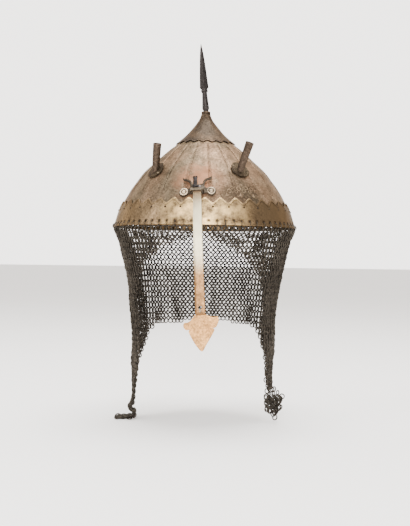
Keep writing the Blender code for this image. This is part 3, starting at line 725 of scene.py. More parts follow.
class KULAHKHUD_OT_bowl(BuildPiece, bpy.types.Operator):
    """Build the fluted bowl with its double-line ribs, the boss by the front rib and the leaves over the band"""

    bl_idname = "kulah_khud.bowl"
    bl_label = "Bowl"

    # Degrees from the front of the leaves, then of the curls with their heights and sizes
    LEAVES = (20, 30, 40, 50, 60)
    LEAF_HEIGHT = 0.0308
    CURLS = (
        (22.0, 0.0365, 1.0), (24.6, 0.0402, 0.8), (27.0, 0.0360, 0.7), (29.5, 0.0392, 1.1), (33.0, 0.0368, 0.9),
        (32.0, 0.0432, 0.8), (35.5, 0.0405, 1.0), (38.0, 0.0364, 0.7), (40.0, 0.0395, 0.9), (43.5, 0.0370, 0.8),
    )

    def build(self, shape, colours):
        panel = 2 * pi / PANELS
        half_rib = RIB_WIDTH / 2 / RIM_RADIUS
        depths = [line.depth for line in RIB_LINES]
        sides = [-share for share in reversed(depths[1:])] + depths
        reach = depths[-1] * half_rib
        flat = [reach + (panel - 2 * reach) * step / 7 for step in range(1, 7)]
        turns = [share * half_rib for share in sides] + flat
        rib_top = CAP_EDGE - CAP_POINT - GAP
        rows = 112
        heights = [
            CROWN_OPENING + (BOWL_EDGE - CROWN_OPENING) * (row / rows) ** 1.08 for row in range(rows + 1)
        ]

        def fade(height):
            foot = (height - RIB_FOOT) / RIB_RUNOUT
            top = (rib_top - height) / (RIB_RUNOUT / 2)
            return min(max(min(foot, top), 0), 1)

        def spot(column):
            """The column's azimuth, and how far it lies from its rib's middle in half ribs."""
            step = column % (len(turns) * PANELS)
            turn = turns[step % len(turns)]
            aside = min(abs(turn), abs(panel - turn)) / half_rib
            return panel / 2 + panel * (step // len(turns)) + turn, aside

        def place(column, row):
            (azimuth, aside), height = spot(column), heights[row]
            rise = straight(RIB_LINES, aside) * shape.line_rise * fade(height)
            boss = Vector(((azimuth - radians(7.6)) * skull_radius(height), height - 0.0605, 0))
            width = 0.0022 if boss.y < 0 else max(0.0022 - 0.5 * boss.y, 0.0004)
            rise += 0.0009 * max(1 - (boss.x / width) ** 2 - (boss.y / 0.0038) ** 2, 0)
            return over_skull(azimuth, height, rise)

        def tone(column, row):
            # Painted shade in the grooves and painted highlight on the crests of the double-line ribs, fading out with
            # them
            return 0.5 + (straight(RIB_LINES, spot(column)[1], 2) - 0.5) * fade(heights[row])

        mesh = sheet("bowl_shell", len(turns) * PANELS, rows, place, tone)
        iron = self.finish(colours)
        bowl = add("bowl_shell", mesh, iron, stands_for=["skull_bowl"], crease=None)
        thicken(bowl, BOWL_WALL)
        self.leaves(colours)

    def finish(self, colours):
        """Iron with pinkish patches over the bracket and chased scrolls at the right front."""
        iron = worn_iron("bowl_iron", colours.iron, colours.warm, colours.stain, streaks=0.28)
        tree = iron[1]
        pink = patchy(tree, near(tree, (-0.002, -0.088, 0.054), 0.014, 0.024), 70, 0.36, 0.54)
        iron = retone(iron, pink, colours.pink)
        wander = node(
            tree, "ShaderNodeTexNoise", Vector=objects_space(tree), Scale=150.0, Detail=2.0, Roughness=0.5
        )
        place = node(tree, "ShaderNodeVectorMath", {"operation": "MULTIPLY_ADD"})
        tree.links.new(wander.outputs["Color"], place.inputs[0])
        place.inputs[1].default_value = (0.004, 0.004, 0.004)
        tree.links.new(objects_space(tree), place.inputs[2])
        cells = node(
            tree, "ShaderNodeTexVoronoi", {"feature": "DISTANCE_TO_EDGE"}, Vector=place.outputs["Vector"], Scale=175.0
        )
        chased = node(tree, "ShaderNodeMath", {"operation": "MULTIPLY", "use_clamp": True})
        tree.links.new(near(tree, around(radians(32), 0.095, 0.036), 0.016, 0.014), chased.inputs[0])
        tree.links.new(ramp(tree, cells.outputs["Distance"], (0.05, 0.55), (0.24, 0.2)), chased.inputs[1])
        return lined(retone(iron, chased.outputs[0], colours.stain))[0]

    def leaves(self, colours):
        """Small three-petalled leaves in the notches of the band's edge at the right front, under curled stems."""
        leaf = bmesh.new()
        for turn, length in ((-0.75, 0.0013), (0, 0.0021), (0.75, 0.0013)):
            petal = Matrix.Rotation(-turn, 4, "Z") @ Matrix.Translation((0, 0.8 * length, 0))
            bmesh.ops.create_uvsphere(
                leaf, u_segments=12, v_segments=8, radius=1, matrix=petal @ Matrix.Diagonal((0.0008, length, 0.0004, 1))
            )
        iron = worn_iron("relief_iron", darker(colours.iron, 2.0), colours.warm, colours.stain)[0]
        unit = mesh_of("bowl_leaves", leaf, outward=True)
        places = [self.on_bowl(degrees_round, self.LEAF_HEIGHT) for degrees_round in self.LEAVES]
        add("bowl_leaves", joined("bowl_leaves", unit, places), iron, crease=None)
        places = [
            self.on_bowl(degrees_round, height) @ Matrix.Scale(size, 4) for degrees_round, height, size in self.CURLS
        ]
        unit = ring_mesh("bowl_curls", 0.0021, 0.0008, 16, 6)
        add("bowl_curls", joined("bowl_curls", unit, places), iron, crease=None)

    def on_bowl(self, degrees_round, height):
        """The frame on the bowl's face: x along it, y up it and z out of it."""
        azimuth = radians(degrees_round)
        outward = skull_normal(azimuth, height)
        side = Vector((cos(azimuth), sin(azimuth), 0))
        rows = Matrix((side, outward.cross(side), outward)).transposed().to_4x4()
        return Matrix.Translation(over_skull(azimuth, height, 0)) @ rows


class KULAHKHUD_OT_band(BuildPiece, bpy.types.Operator):
    """Build the rim band with its waved, double-lined edge, the holes of the mail and its small rivets"""

    bl_idname = "kulah_khud.band"
    bl_label = "Rim band"

    TURNS = (0, 0.9, 2.05, 2.5, 2.95, 4.1, 5, 5.9, 7.05, 7.5, 7.95, 9.1)
    BY_HOLE = (2.05, 2.5, 2.95, 7.05, 7.5, 7.95)
    HEIGHTS = (0.0172, 0.0120, 0.0085, 0.0064, 0.0053, 0.0045, 0.0037, 0.0022, 0.0010, 0)
    RIVET_HEIGHT = 0.0188
    RIVET_RADIUS = 0.0012

    def build(self, shape, colours):
        pitch = 2 * pi / BAND_TEETH
        offset = GAP + BAND_WALL
        columns = len(self.TURNS) * BAND_TEETH
        rows = len(EDGE_LINES) + len(self.HEIGHTS)

        def place(column, row):
            step = column % columns
            turn = radians(self.TURNS[step % len(self.TURNS)])
            azimuth = pitch * (step // len(self.TURNS)) + turn
            if row >= len(EDGE_LINES):
                return over_skull(azimuth, self.HEIGHTS[row - len(EDGE_LINES)], offset)
            tooth = 1 - abs(2 * turn / pitch - 1)
            wave = 0.15 * tooth + 0.85 * tooth * tooth * (3 - 2 * tooth)
            line = EDGE_LINES[row]
            height = BAND_PEAK - BAND_TOOTH * (1 - wave) - 0.001 * line.depth
            return over_skull(azimuth, height, offset + line.rise * shape.line_rise)

        def tone(column, row):
            # Painted shade in the grooves and painted highlight on the crests of the edge's double lines, and painted
            # shadow round the mail holes
            if row < len(EDGE_LINES):
                return EDGE_LINES[row].tone
            hole_shadow = self.TURNS[column % len(self.TURNS)] in self.BY_HOLE
            return 0.05 if hole_shadow and abs(self.HEIGHTS[row - len(EDGE_LINES)] - RIM_HOLE_HEIGHT) < 0.001 else 0.5

        mesh = sheet("rim_band_shell", columns, rows - 1, place, tone)
        self.open_holes(mesh)
        iron = worn_iron(
            "band_iron", colours.band, darker(colours.band, 1.7), colours.stain, metallic=0.85,
            roughness=(0.30, 0.55),
        )
        tree = iron[1]
        iron = retone(iron, near(tree, (0.098, -0.040, 0.012), 0.024, 0.052), darker(colours.band, 0.6))
        # Brassy wear at the band's front, together with a painted highlight where the front light falls on it
        worn = near(tree, (0.010, -0.101, 0.012), 0.020, 0.036)
        iron = lined(retone(iron, patchy(tree, worn, 75, 0.38, 0.60), colours.gold_wear_and_highlight))
        band = add("rim_band_shell", mesh, iron[0], stands_for=["rim_band"], crease=None)
        thicken(band, BAND_WALL)
        subdivide(band)

        dark = worn_iron("small_rivet_iron", colours.stain, darker(colours.band, 0.5), darker(colours.stain, 0.4))[0]
        head = turned_mesh("band_rivets", ((0, 0.55), (0.5, 0.46), (0.86, 0.22), (1, -0.1), (0, -0.1)), 10)
        places = []
        for tooth in range(BAND_TEETH):
            azimuth = pitch * tooth
            at = facing(over_skull(azimuth, self.RIVET_HEIGHT, offset), skull_normal(azimuth, self.RIVET_HEIGHT))
            places.append(at @ Matrix.Scale(self.RIVET_RADIUS, 4))
        add("band_rivets", joined("band_rivets", head, places), dark)

    def open_holes(self, mesh):
        """Takes out the faces round each hole's middle and rounds what is left of its edge."""
        holes = bmesh.new()
        holes.from_mesh(mesh)
        pitch = 2 * pi / RIM_HOLES
        middles = []
        for point in holes.verts:
            turn = atan2(point.co.x, -point.co.y) / pitch
            if abs(turn - 0.5 - round(turn - 0.5)) < 0.02 and abs(point.co.z - RIM_HOLE_HEIGHT) < 0.0004:
                middles.append(point)
        for middle in middles:
            centre = middle.co.copy()
            for face in middle.link_faces:
                for corner in face.verts:
                    if corner is not middle:
                        corner.co = centre + (corner.co - centre).normalized() * 0.00085
        bmesh.ops.delete(holes, geom=middles, context="VERTS")
        holes.to_mesh(mesh)
        holes.free()


class KULAHKHUD_OT_cap(BuildPiece, bpy.types.Operator):
    """Build the apex cap with its zigzag edge and its neck collar"""

    bl_idname = "kulah_khud.cap"
    bl_label = "Apex cap"

    # Depth below the bowl's top, rise in mm, and the painted shade and highlight there, 0 dark and 1 bright
    COLLAR = (
        Line(0, 0.10, 0.5), Line(0.0006, 0.48, 0.85), Line(0.0016, 0.50, 0.75), Line(0.0021, 0.12, 0.04),
        Line(0.0026, 0, 0.2),
    )

    def build(self, shape, colours):
        parts = 8
        columns = parts * CAP_POINTS
        offset = GAP + CAP_WALL
        heights = [SKULL_HEIGHT - ring.depth for ring in self.COLLAR]
        low = CAP_EDGE + 0.0035
        steps = 16
        heights += [heights[-1] + (low - heights[-1]) * step / steps for step in range(1, steps)]
        rows = len(heights) + len(EDGE_LINES)

        def place(column, row):
            azimuth = 2 * pi * (column % columns) / columns
            if row < len(heights):
                rise = 0.001 * self.COLLAR[row].rise if row < len(self.COLLAR) else 0
                return over_skull(azimuth, heights[row], offset + rise)
            line = EDGE_LINES[rows - 1 - row]
            tooth = abs(2 * (column % parts) / parts - 1)
            edge = CAP_EDGE - CAP_POINT * tooth
            return over_skull(azimuth, edge + 0.0008 * line.depth, offset + 0.8 * line.rise * shape.line_rise)

        def tone(column, row):
            # Painted shade in the collar's notches and grooves, and painted highlight on its crests and on the edge's
            # lines
            if row >= len(heights):
                return EDGE_LINES[rows - 1 - row].tone
            if row >= len(self.COLLAR):
                return 0.5
            return 0.2 if row in (1, 2) and column % parts < 2 else self.COLLAR[row].tone

        iron = lined(
            worn_iron(
                "cap_iron", colours.cap, darker(colours.warm, 0.6), colours.stain, roughness=(0.34, 0.52), streaks=0.2
            )
        )
        mesh = sheet("apex_cap_shell", columns, rows - 1, place, tone)
        cap = add("apex_cap_shell", mesh, iron[0], stands_for=["apex_cap"], crease=None)
        thicken(cap, CAP_WALL)
        subdivide(cap)


class KULAHKHUD_OT_spike(BuildPiece, bpy.types.Operator):
    """Build the spike: a turned stem and a four-sided blade on a collar"""

    bl_idname = "kulah_khud.spike"
    bl_label = "Spike"

    def build(self, shape, colours):
        tang = skull_radius(SKULL_HEIGHT) - sin(SPIKE_LEAN) * SPIKE_TANG / 2
        stem = [(0, SPIKE_STEM[0].height * SPIKE_HEIGHT)]
        stem += [(row.radius * SPIKE_RADIUS, row.height * SPIKE_HEIGHT) for row in SPIKE_STEM]
        stem += [(tang, 0), (tang, -SPIKE_TANG), (0, -SPIKE_TANG)]
        length = SPIKE_HEIGHT - BLADE_FOOT
        blade = [(0, SPIKE_HEIGHT)]
        blade += [(row.radius * BLADE_WIDTH / 2, BLADE_FOOT + row.height * length) for row in SPIKE_BLADE]
        blade += [(0, BLADE_FOOT)]
        lean = Matrix.Translation((0, 0, SKULL_HEIGHT)) @ Matrix.Rotation(-SPIKE_LEAN, 4, "Y")

        material = worn_iron(
            "spike_iron", colours.spike, darker(colours.spike, 1.7), darker(colours.spike, 0.45),
            metallic=0.75, roughness=(0.38, 0.6), pits=0.0002,
        )[0]
        mesh = turned_mesh("spike_stem", stem, 36)
        mesh.transform(lean)
        add("spike_stem", mesh, material, stands_for=["spike"], crease=50)
        mesh = turned_mesh("spike_blade", blade, 4)
        mesh.transform(lean @ Matrix.Diagonal((1, BLADE_DEPTH / BLADE_WIDTH, 1, 1)))
        piece = add("spike_blade", mesh, material, stands_for=["spike"], crease=25)
        soften(piece, 0.0002, 2, 25)


class KULAHKHUD_OT_plume_holders(BuildPiece, bpy.types.Operator):
    """Build the two plume tubes, their scalloped plates and the plates' rivets"""

    bl_idname = "kulah_khud.plume_holders"
    bl_label = "Plume holders"

    def build(self, shape, colours):
        iron = worn_iron(
            "plume_iron", colours.holder, darker(colours.holder, 1.5), darker(colours.stain, 0.7),
            roughness=(0.40, 0.62), pits=0.0002,
        )[0]
        plate_iron = worn_iron(
            "plate_iron", darker(colours.holder, 0.6), darker(colours.iron, 0.5), darker(colours.stain, 0.6),
            roughness=(0.42, 0.65), pits=0.0003,
        )[0]
        bright = worn_iron("rivet_steel", darker(colours.rivet, 0.5), colours.iron, colours.stain)[0]
        for holder in HOLDERS:
            node_name = "plume_holder_" + holder.side
            seat = RIB_SEAT + GAP
            top = seat + PLATE_WALL
            plate = add(
                "plume_plate_" + holder.side, self.plate(holder, top), plate_iron, stands_for=[node_name],
                crease=None,
            )
            thicken(plate, PLATE_WALL)
            subdivide(plate)
            add(
                "plume_tube_" + holder.side, self.tube(holder, seat, top), iron, stands_for=[node_name],
                crease=50,
            )
            for index, side in enumerate((-1, 1), start=1):
                across = side * PLUME_RIVET_REACH * cos(PLUME_RIVET_TURN)
                along = side * PLUME_RIVET_REACH * sin(PLUME_RIVET_TURN)
                azimuth = holder.azimuth + across / skull_radius(holder.height)
                height = holder.height + along * profile_normal(holder.height)[0]
                at = facing(over_skull(azimuth, height, top), skull_normal(azimuth, height))
                add_rivet(f"plume_rivet_{holder.side}_{index}", PLUME_RIVET_RADIUS, at, bright)

    def plate(self, holder, top):
        """A disc laid on the bowl, with a raised scalloped rim, as rings of points from its middle outward."""
        columns = 8 * PLATE_SCALLOPS
        rings = (0, 0.25, 0.5, 0.68, 0.76, 0.83, 0.90, 0.96, 1)
        rises = (0, 0, 0, 0, -0.1, 0.05, 0.35, 0.32, 0)

        def place(column, row):
            angle = 2 * pi * (column % columns) / columns
            scallop = abs(sin(angle * PLATE_SCALLOPS / 2))
            reach = PLATE_RADIUS - SCALLOP_DEPTH * (1 - scallop) * rings[row]
            across, along = rings[row] * reach * cos(angle), rings[row] * reach * sin(angle)
            azimuth = holder.azimuth + across / skull_radius(holder.height)
            height = holder.height + along * profile_normal(holder.height)[0]
            return over_skull(azimuth, height, top + 0.001 * rises[row])

        return sheet("plume_plate_" + holder.side, columns, len(rings) - 1, place)

    def tube(self, holder, seat, top):
        axis = Vector((tan(holder.lean), -tan(holder.forward), 1)).normalized()
        floor = over_skull(holder.azimuth, holder.height, top)
        bore, mouth, reach = TUBE_RADIUS - TUBE_WALL, MOUTH_RADIUS - TUBE_WALL, holder.reach
        lip = 0.25 * TUBE_WALL
        profile = [
            (0, TUBE_WALL), (bore, TUBE_WALL), (mouth, reach - lip), (mouth + lip, reach),
            (MOUTH_RADIUS - lip, reach), (MOUTH_RADIUS, reach - lip),
        ]
        profile += [
            (TUBE_RADIUS + (MOUTH_RADIUS - TUBE_RADIUS) * share, share * reach)
            for share in (0.9, 0.75, 0.6, 0.45, 0.3, 0.15)
        ]
        profile += [(TUBE_RADIUS, 0), (0, 0)]
        mesh = turned_mesh("plume_tube_" + holder.side, profile, 28)
        at = facing(floor, axis)
        for point in mesh.vertices:
            foot = point.co.z < TUBE_WALL / 2
            inner_foot = not foot and point.co.z < 1.5 * TUBE_WALL
            point.co = at @ point.co
            if foot:
                point.co = slide_to_skull(point.co, axis, seat + PLATE_WALL / 2)
            elif inner_foot:
                point.co = slide_to_skull(point.co, axis, top + TUBE_WALL / 2)
            else:
                point.co += 0.0001 * noise.noise_vector(point.co * 130)
        return mesh


def add_rivet(node_name, radius, at, material, body="shell"):
    """A low domed head in place of the solid rivet of this name, sunk a little into what it holds."""
    foot = -0.15 * radius
    profile = (
        (0, 0.62 * radius), (0.35 * radius, 0.58 * radius), (0.66 * radius, 0.44 * radius),
        (0.88 * radius, 0.22 * radius), (radius, 0), (radius, foot), (0, foot),
    )
    mesh = turned_mesh(node_name + "_head", profile, 20)
    mesh.transform(at)
    return add(node_name + "_head", mesh, material, body, stands_for=[node_name], crease=60)


def pivot_frame():
    """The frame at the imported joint's place, turned by the bar's lean."""
    joint = frame["joints"][0]
    return Matrix.Translation(joint["pos_m"]) @ Matrix.Rotation(-BAR_LEAN, 4, "Y")


def on_arc(angle):
    """The frame on the bar's centre line: x across, y into the helmet, z up the bar."""
    return pivot_frame() @ Matrix.Rotation(-angle, 4, "X") @ Matrix.Translation((0, -BAR_ARC, 0))


STAPLE_ANGLE = asin(ARC_CENTRE_DROP / BAR_ARC)
BAR_FOOT_ANGLE = STAPLE_ANGLE - BAR_BELOW_STAPLE / BAR_ARC
BAR_TOP_ANGLE = STAPLE_ANGLE + BAR_ABOVE_STAPLE / BAR_ARC
QUARTER = Matrix.Rotation(pi / 2, 4, "X")


class KULAHKHUD_OT_bracket(BuildPiece, bpy.types.Operator):
    """Build the nasal's bracket: plate, rings round its rivets, staple and rivet heads"""

    bl_idname = "kulah_khud.bracket"
    bl_label = "Nasal bracket"

    def build(self, shape, colours):
        steel = worn_iron(
            "bracket_steel", colours.bracket, darker(colours.bracket, 1.5), darker(colours.stain, 0.6),
            roughness=(0.28, 0.5),
        )[0]
        bright = worn_iron("bracket_rivet_steel", colours.rivet, darker(colours.rivet, 0.85), colours.bracket)[0]
        middle = BRACKET_FOOT + BRACKET_HEIGHT / 2
        outward, _ = profile_normal(middle)

        def tilted(across, height):
            """Across and along the plate from its middle, turned about the staple by the bar's lean."""
            along = (height - STAPLE_HEIGHT) / outward
            turned_across = across * cos(BAR_LEAN) - along * sin(BAR_LEAN)
            turned_along = across * sin(BAR_LEAN) + along * cos(BAR_LEAN)
            return turned_across, turned_along + (STAPLE_HEIGHT - middle) / outward

        points = [
            tilted(across, BRACKET_FOOT + along)
            for across, along in two_sided(BRACKET, BRACKET, BRACKET_WIDTH / 2, BRACKET_HEIGHT)
        ]
        plate = filled(rounded(points, 4))
        pitch = BRACKET_WIDTH / 30
        for axis in (0, 1):
            reach = max(abs(point[axis]) for point in points)
            for step in range(-int(reach / pitch), int(reach / pitch) + 1):
                place, normal = Vector((0, 0, 0)), Vector((0, 0, 0))
                place[axis], normal[axis] = step * pitch, 1
                bmesh.ops.bisect_plane(
                    plate, geom=plate.verts[:] + plate.edges[:] + plate.faces[:], dist=1e-6, plane_co=place,
                    plane_no=normal,
                )
        top = RIB_SEAT + GAP + BRACKET_WALL
        for point in plate.verts:
            rise = middle + point.co.y * outward
            lift = 0.0012 * max(point.co.y / (BRACKET_HEIGHT / 2), 0) ** 2
            point.co = over_skull(point.co.x / skull_radius(middle), rise, top + lift)
        bmesh.ops.recalc_face_normals(plate, faces=plate.faces)
        plate.faces.ensure_lookup_table()
        if plate.faces[0].normal.dot(skull_normal(0, middle)) < 0:
            bmesh.ops.reverse_faces(plate, faces=plate.faces)
        piece = add(
            "bracket_plate", mesh_of("bracket_plate", plate), steel, stands_for=["nasal_bracket"],
            crease=40,
        )
        thicken(piece, BRACKET_WALL)
        soften(piece, 0.00028, 2, 40)
        mid = worn_iron("staple_steel", darker(colours.rivet, 0.5), colours.bracket, colours.stain)[0]
        staple = add(
            "bracket_staple", self.staple(top), mid, stands_for=["nasal_bracket"]
        )
        soften(staple, 0.0003, 2, 40)

        rings = []
        for side, sign in (("left", -1), ("right", 1)):
            across, along = tilted(sign * BRACKET_RIVET_SPREAD / 2, BRACKET_RIVET_HEIGHT)
            azimuth, height = across / skull_radius(middle), middle + along * outward
            at = facing(over_skull(azimuth, height, top), skull_normal(azimuth, height))
            rings.append(at)
            add_rivet("bracket_rivet_" + side, BRACKET_RIVET_RADIUS, at, bright)
        rim = ring_mesh("bracket_rings", 0.0037, 0.0012, 32, 8)
        add("bracket_rings", joined("bracket_rings", rim, rings), bright)

    def staple(self, top):
        inner = max(BAR_FOOT_WIDTH, BAR_TOP_WIDTH) / 2 + SLIDE_CLEARANCE
        outer = inner + STAPLE_THICKNESS
        roof = BAR_THICKNESS / 2 + SLIDE_CLEARANCE
        crest = roof + STAPLE_THICKNESS
        foot = -BAR_THICKNESS
        arch = (
            (-outer, foot), (-inner, foot), (-inner, roof), (inner, roof),
            (inner, foot), (outer, foot), (outer, crest), (-outer, crest),
        )
        staple = filled(arch, STAPLE_BREADTH / 2)
        at = on_arc(STAPLE_ANGLE)
        upright = Matrix(((1, 0, 0, 0), (0, -1, 0, 0), (0, 0, -1, 0), (0, 0, 0, 1)))
        inward = at.to_3x3() @ Vector((0, 1, 0))
        for point in staple.verts:
            is_foot = point.co.y < 0
            point.co = at @ upright @ point.co
            if is_foot:
                point.co = slide_to_skull(point.co, inward, top - BRACKET_WALL / 2)
        return mesh_of("bracket_staple", staple, outward=True)


class KULAHKHUD_OT_nasal(BuildPiece, bpy.types.Operator):
    """Build the sliding nasal: bar, leaf, the rivet between them and the stop at the bar's top"""

    bl_idname = "kulah_khud.nasal"
    bl_label = "Nasal"

    def build(self, shape, colours):
        half = BAR_THICKNESS / 2
        rows = 60

        def place(column, row):
            share = row / rows
            angle = BAR_TOP_ANGLE + share * (BAR_FOOT_ANGLE - BAR_TOP_ANGLE)
            width = BAR_TOP_WIDTH + share * (BAR_FOOT_WIDTH - BAR_TOP_WIDTH)
            return on_arc(angle) @ Vector((width * (column / 4 - 0.5), -half, 0))

        steel = worn_iron(
            "bar_steel", colours.bar, darker(colours.bar, 0.82), darker(colours.stain, 1.8),
            stretch=(1.4, 1, 0.25), roughness=(0.28, 0.46),
        )
        # Painted highlight: the upper bar made pale where it faces the lights
        steel = retone(steel, near(steel[1], (0.001, -0.107, -0.006), 0.010, 0.042), colours.pale)
        # Painted shadow of the staple: the bar's top darkened to a grey-lilac
        top = on_arc(BAR_TOP_ANGLE).translation
        steel = retone(steel, near(steel[1], top, 0.004, 0.006), (0.105, 0.088, 0.085))
        bar = add(
            "nasal_bar_blade", sheet("nasal_bar_blade", 4, rows, place), steel[0], "nasal",
            stands_for=["nasal_bar"], crease=40,
        )
        thicken(bar, BAR_THICKNESS)
        soften(bar, 0.0004, 2, 60)
        self.pierce(bar)

        beige = worn_iron(
            "leaf_steel", colours.leaf, darker(colours.leaf, 0.86), darker(colours.leaf, 0.35),
            stretch=(1, 1, 1), metallic=0.6, roughness=(0.42, 0.62), pits=0.0005,
        )
        lobes = two_sided(LEAF_RIGHT, LEAF_LEFT, LEAF_WIDTH / 2, -LEAF_LENGTH)
        lobes.insert(len(LEAF_RIGHT), (0, -LEAF_LENGTH))
        neck = LEAF_NECK_WIDTH / 2
        curved = [tuple(point) for point in rounded(lobes, 4)[:-3]]
        outline = [(neck, LEAF_TONGUE), (neck, 0), *curved, (-neck, 0), (-neck, LEAF_TONGUE)]
        leaf_mesh = mesh_of("nasal_leaf_plate", filled(outline, LEAF_THICKNESS / 2), outward=True)
        depth = half + GAP + LEAF_THICKNESS / 2
        leaf_mesh.transform(on_arc(BAR_FOOT_ANGLE) @ Matrix.Translation((0, depth, 0)) @ QUARTER)
        leaf = add(
            "nasal_leaf_plate", leaf_mesh, beige[0], "nasal", stands_for=["nasal_leaf"],
            crease=40,
        )
        soften(leaf, 0.0003, 2, 40)

        bright = worn_iron("leaf_rivet_steel", darker(colours.rivet, 0.8), colours.bar, colours.stain)[0]
        at = on_arc(BAR_FOOT_ANGLE + LEAF_RIVET_RISE / BAR_ARC) @ Matrix.Translation((0, -half, 0)) @ QUARTER
        add_rivet("leaf_rivet", LEAF_RIVET_RADIUS, at, bright, "nasal")
        self.stop(colours, half)

    def pierce(self, bar):
        """The hole over the bar's foot."""
        drill = bmesh.new()
        bmesh.ops.create_cone(
            drill, cap_ends=True, segments=24, radius1=BAR_HOLE_RADIUS, radius2=BAR_HOLE_RADIUS,
            depth=3 * BAR_THICKNESS, matrix=on_arc(BAR_FOOT_ANGLE + BAR_HOLE_RISE / BAR_ARC) @ QUARTER,
        )
        cutter = bpy.data.objects.new("bar_drill", mesh_of("bar_drill", drill))
        bpy.context.scene.collection.objects.link(cutter)
        boolean = bar.modifiers.new("Hole", "BOOLEAN")
        boolean.operation = "DIFFERENCE"
        boolean.object = cutter
        bpy.context.view_layer.update()
        graph = bpy.context.evaluated_depsgraph_get()
        mesh = bpy.data.meshes.new_from_object(bar.evaluated_get(graph))
        bar.modifiers.clear()
        bar.data = mesh
        mesh.shade_smooth()
        mesh.set_sharp_from_angle(angle=radians(40))
        bpy.data.objects.remove(cutter)

    def stop(self, colours, half):
        """A dark iron block with two knobs on top and a wider foot."""
        rest = STAPLE_BREADTH / 2 + GAP
        depth = -half - GAP - STOP_THICKNESS / 2
        at = on_arc(STAPLE_ANGLE + rest / BAR_ARC) @ Matrix.Translation((STOP_SIDE, depth, STOP_HEIGHT / 2))
        block = bmesh.new()
        body = Matrix.Diagonal((0.68 * STOP_WIDTH, STOP_THICKNESS, STOP_HEIGHT, 1))
        bmesh.ops.create_cube(block, size=1, matrix=body)
        foot = Matrix.Translation((0.0004, 0, -0.39 * STOP_HEIGHT))
        bmesh.ops.create_cube(
            block, size=1, matrix=foot @ Matrix.Diagonal((STOP_WIDTH, 1.1 * STOP_THICKNESS, 0.22 * STOP_HEIGHT, 1))
        )
        bmesh.ops.bevel(
            block, geom=block.edges[:], offset=0.0005, offset_type="OFFSET", segments=2, profile=0.5,
            affect="EDGES", material=-1,
        )
        for side in (-1, 1):
            knob = Matrix.Translation((side * 0.0013, 0, 0.55 * STOP_HEIGHT)) @ Matrix.Diagonal((1, 0.9, 1.15, 1))
            bmesh.ops.create_uvsphere(
                block, u_segments=16, v_segments=10, radius=0.62 * STOP_KNOB_RADIUS, matrix=knob
            )
        mesh = mesh_of("nasal_stop_block", block, outward=True)
        mesh.transform(at)
        dark = worn_iron(
            "stop_iron", darker(colours.spike, 0.6), darker(colours.spike, 1.1), darker(colours.stain, 0.2),
        )[0]
        add("nasal_stop_block", mesh, dark, "nasal", stands_for=["nasal_stop"], crease=40)


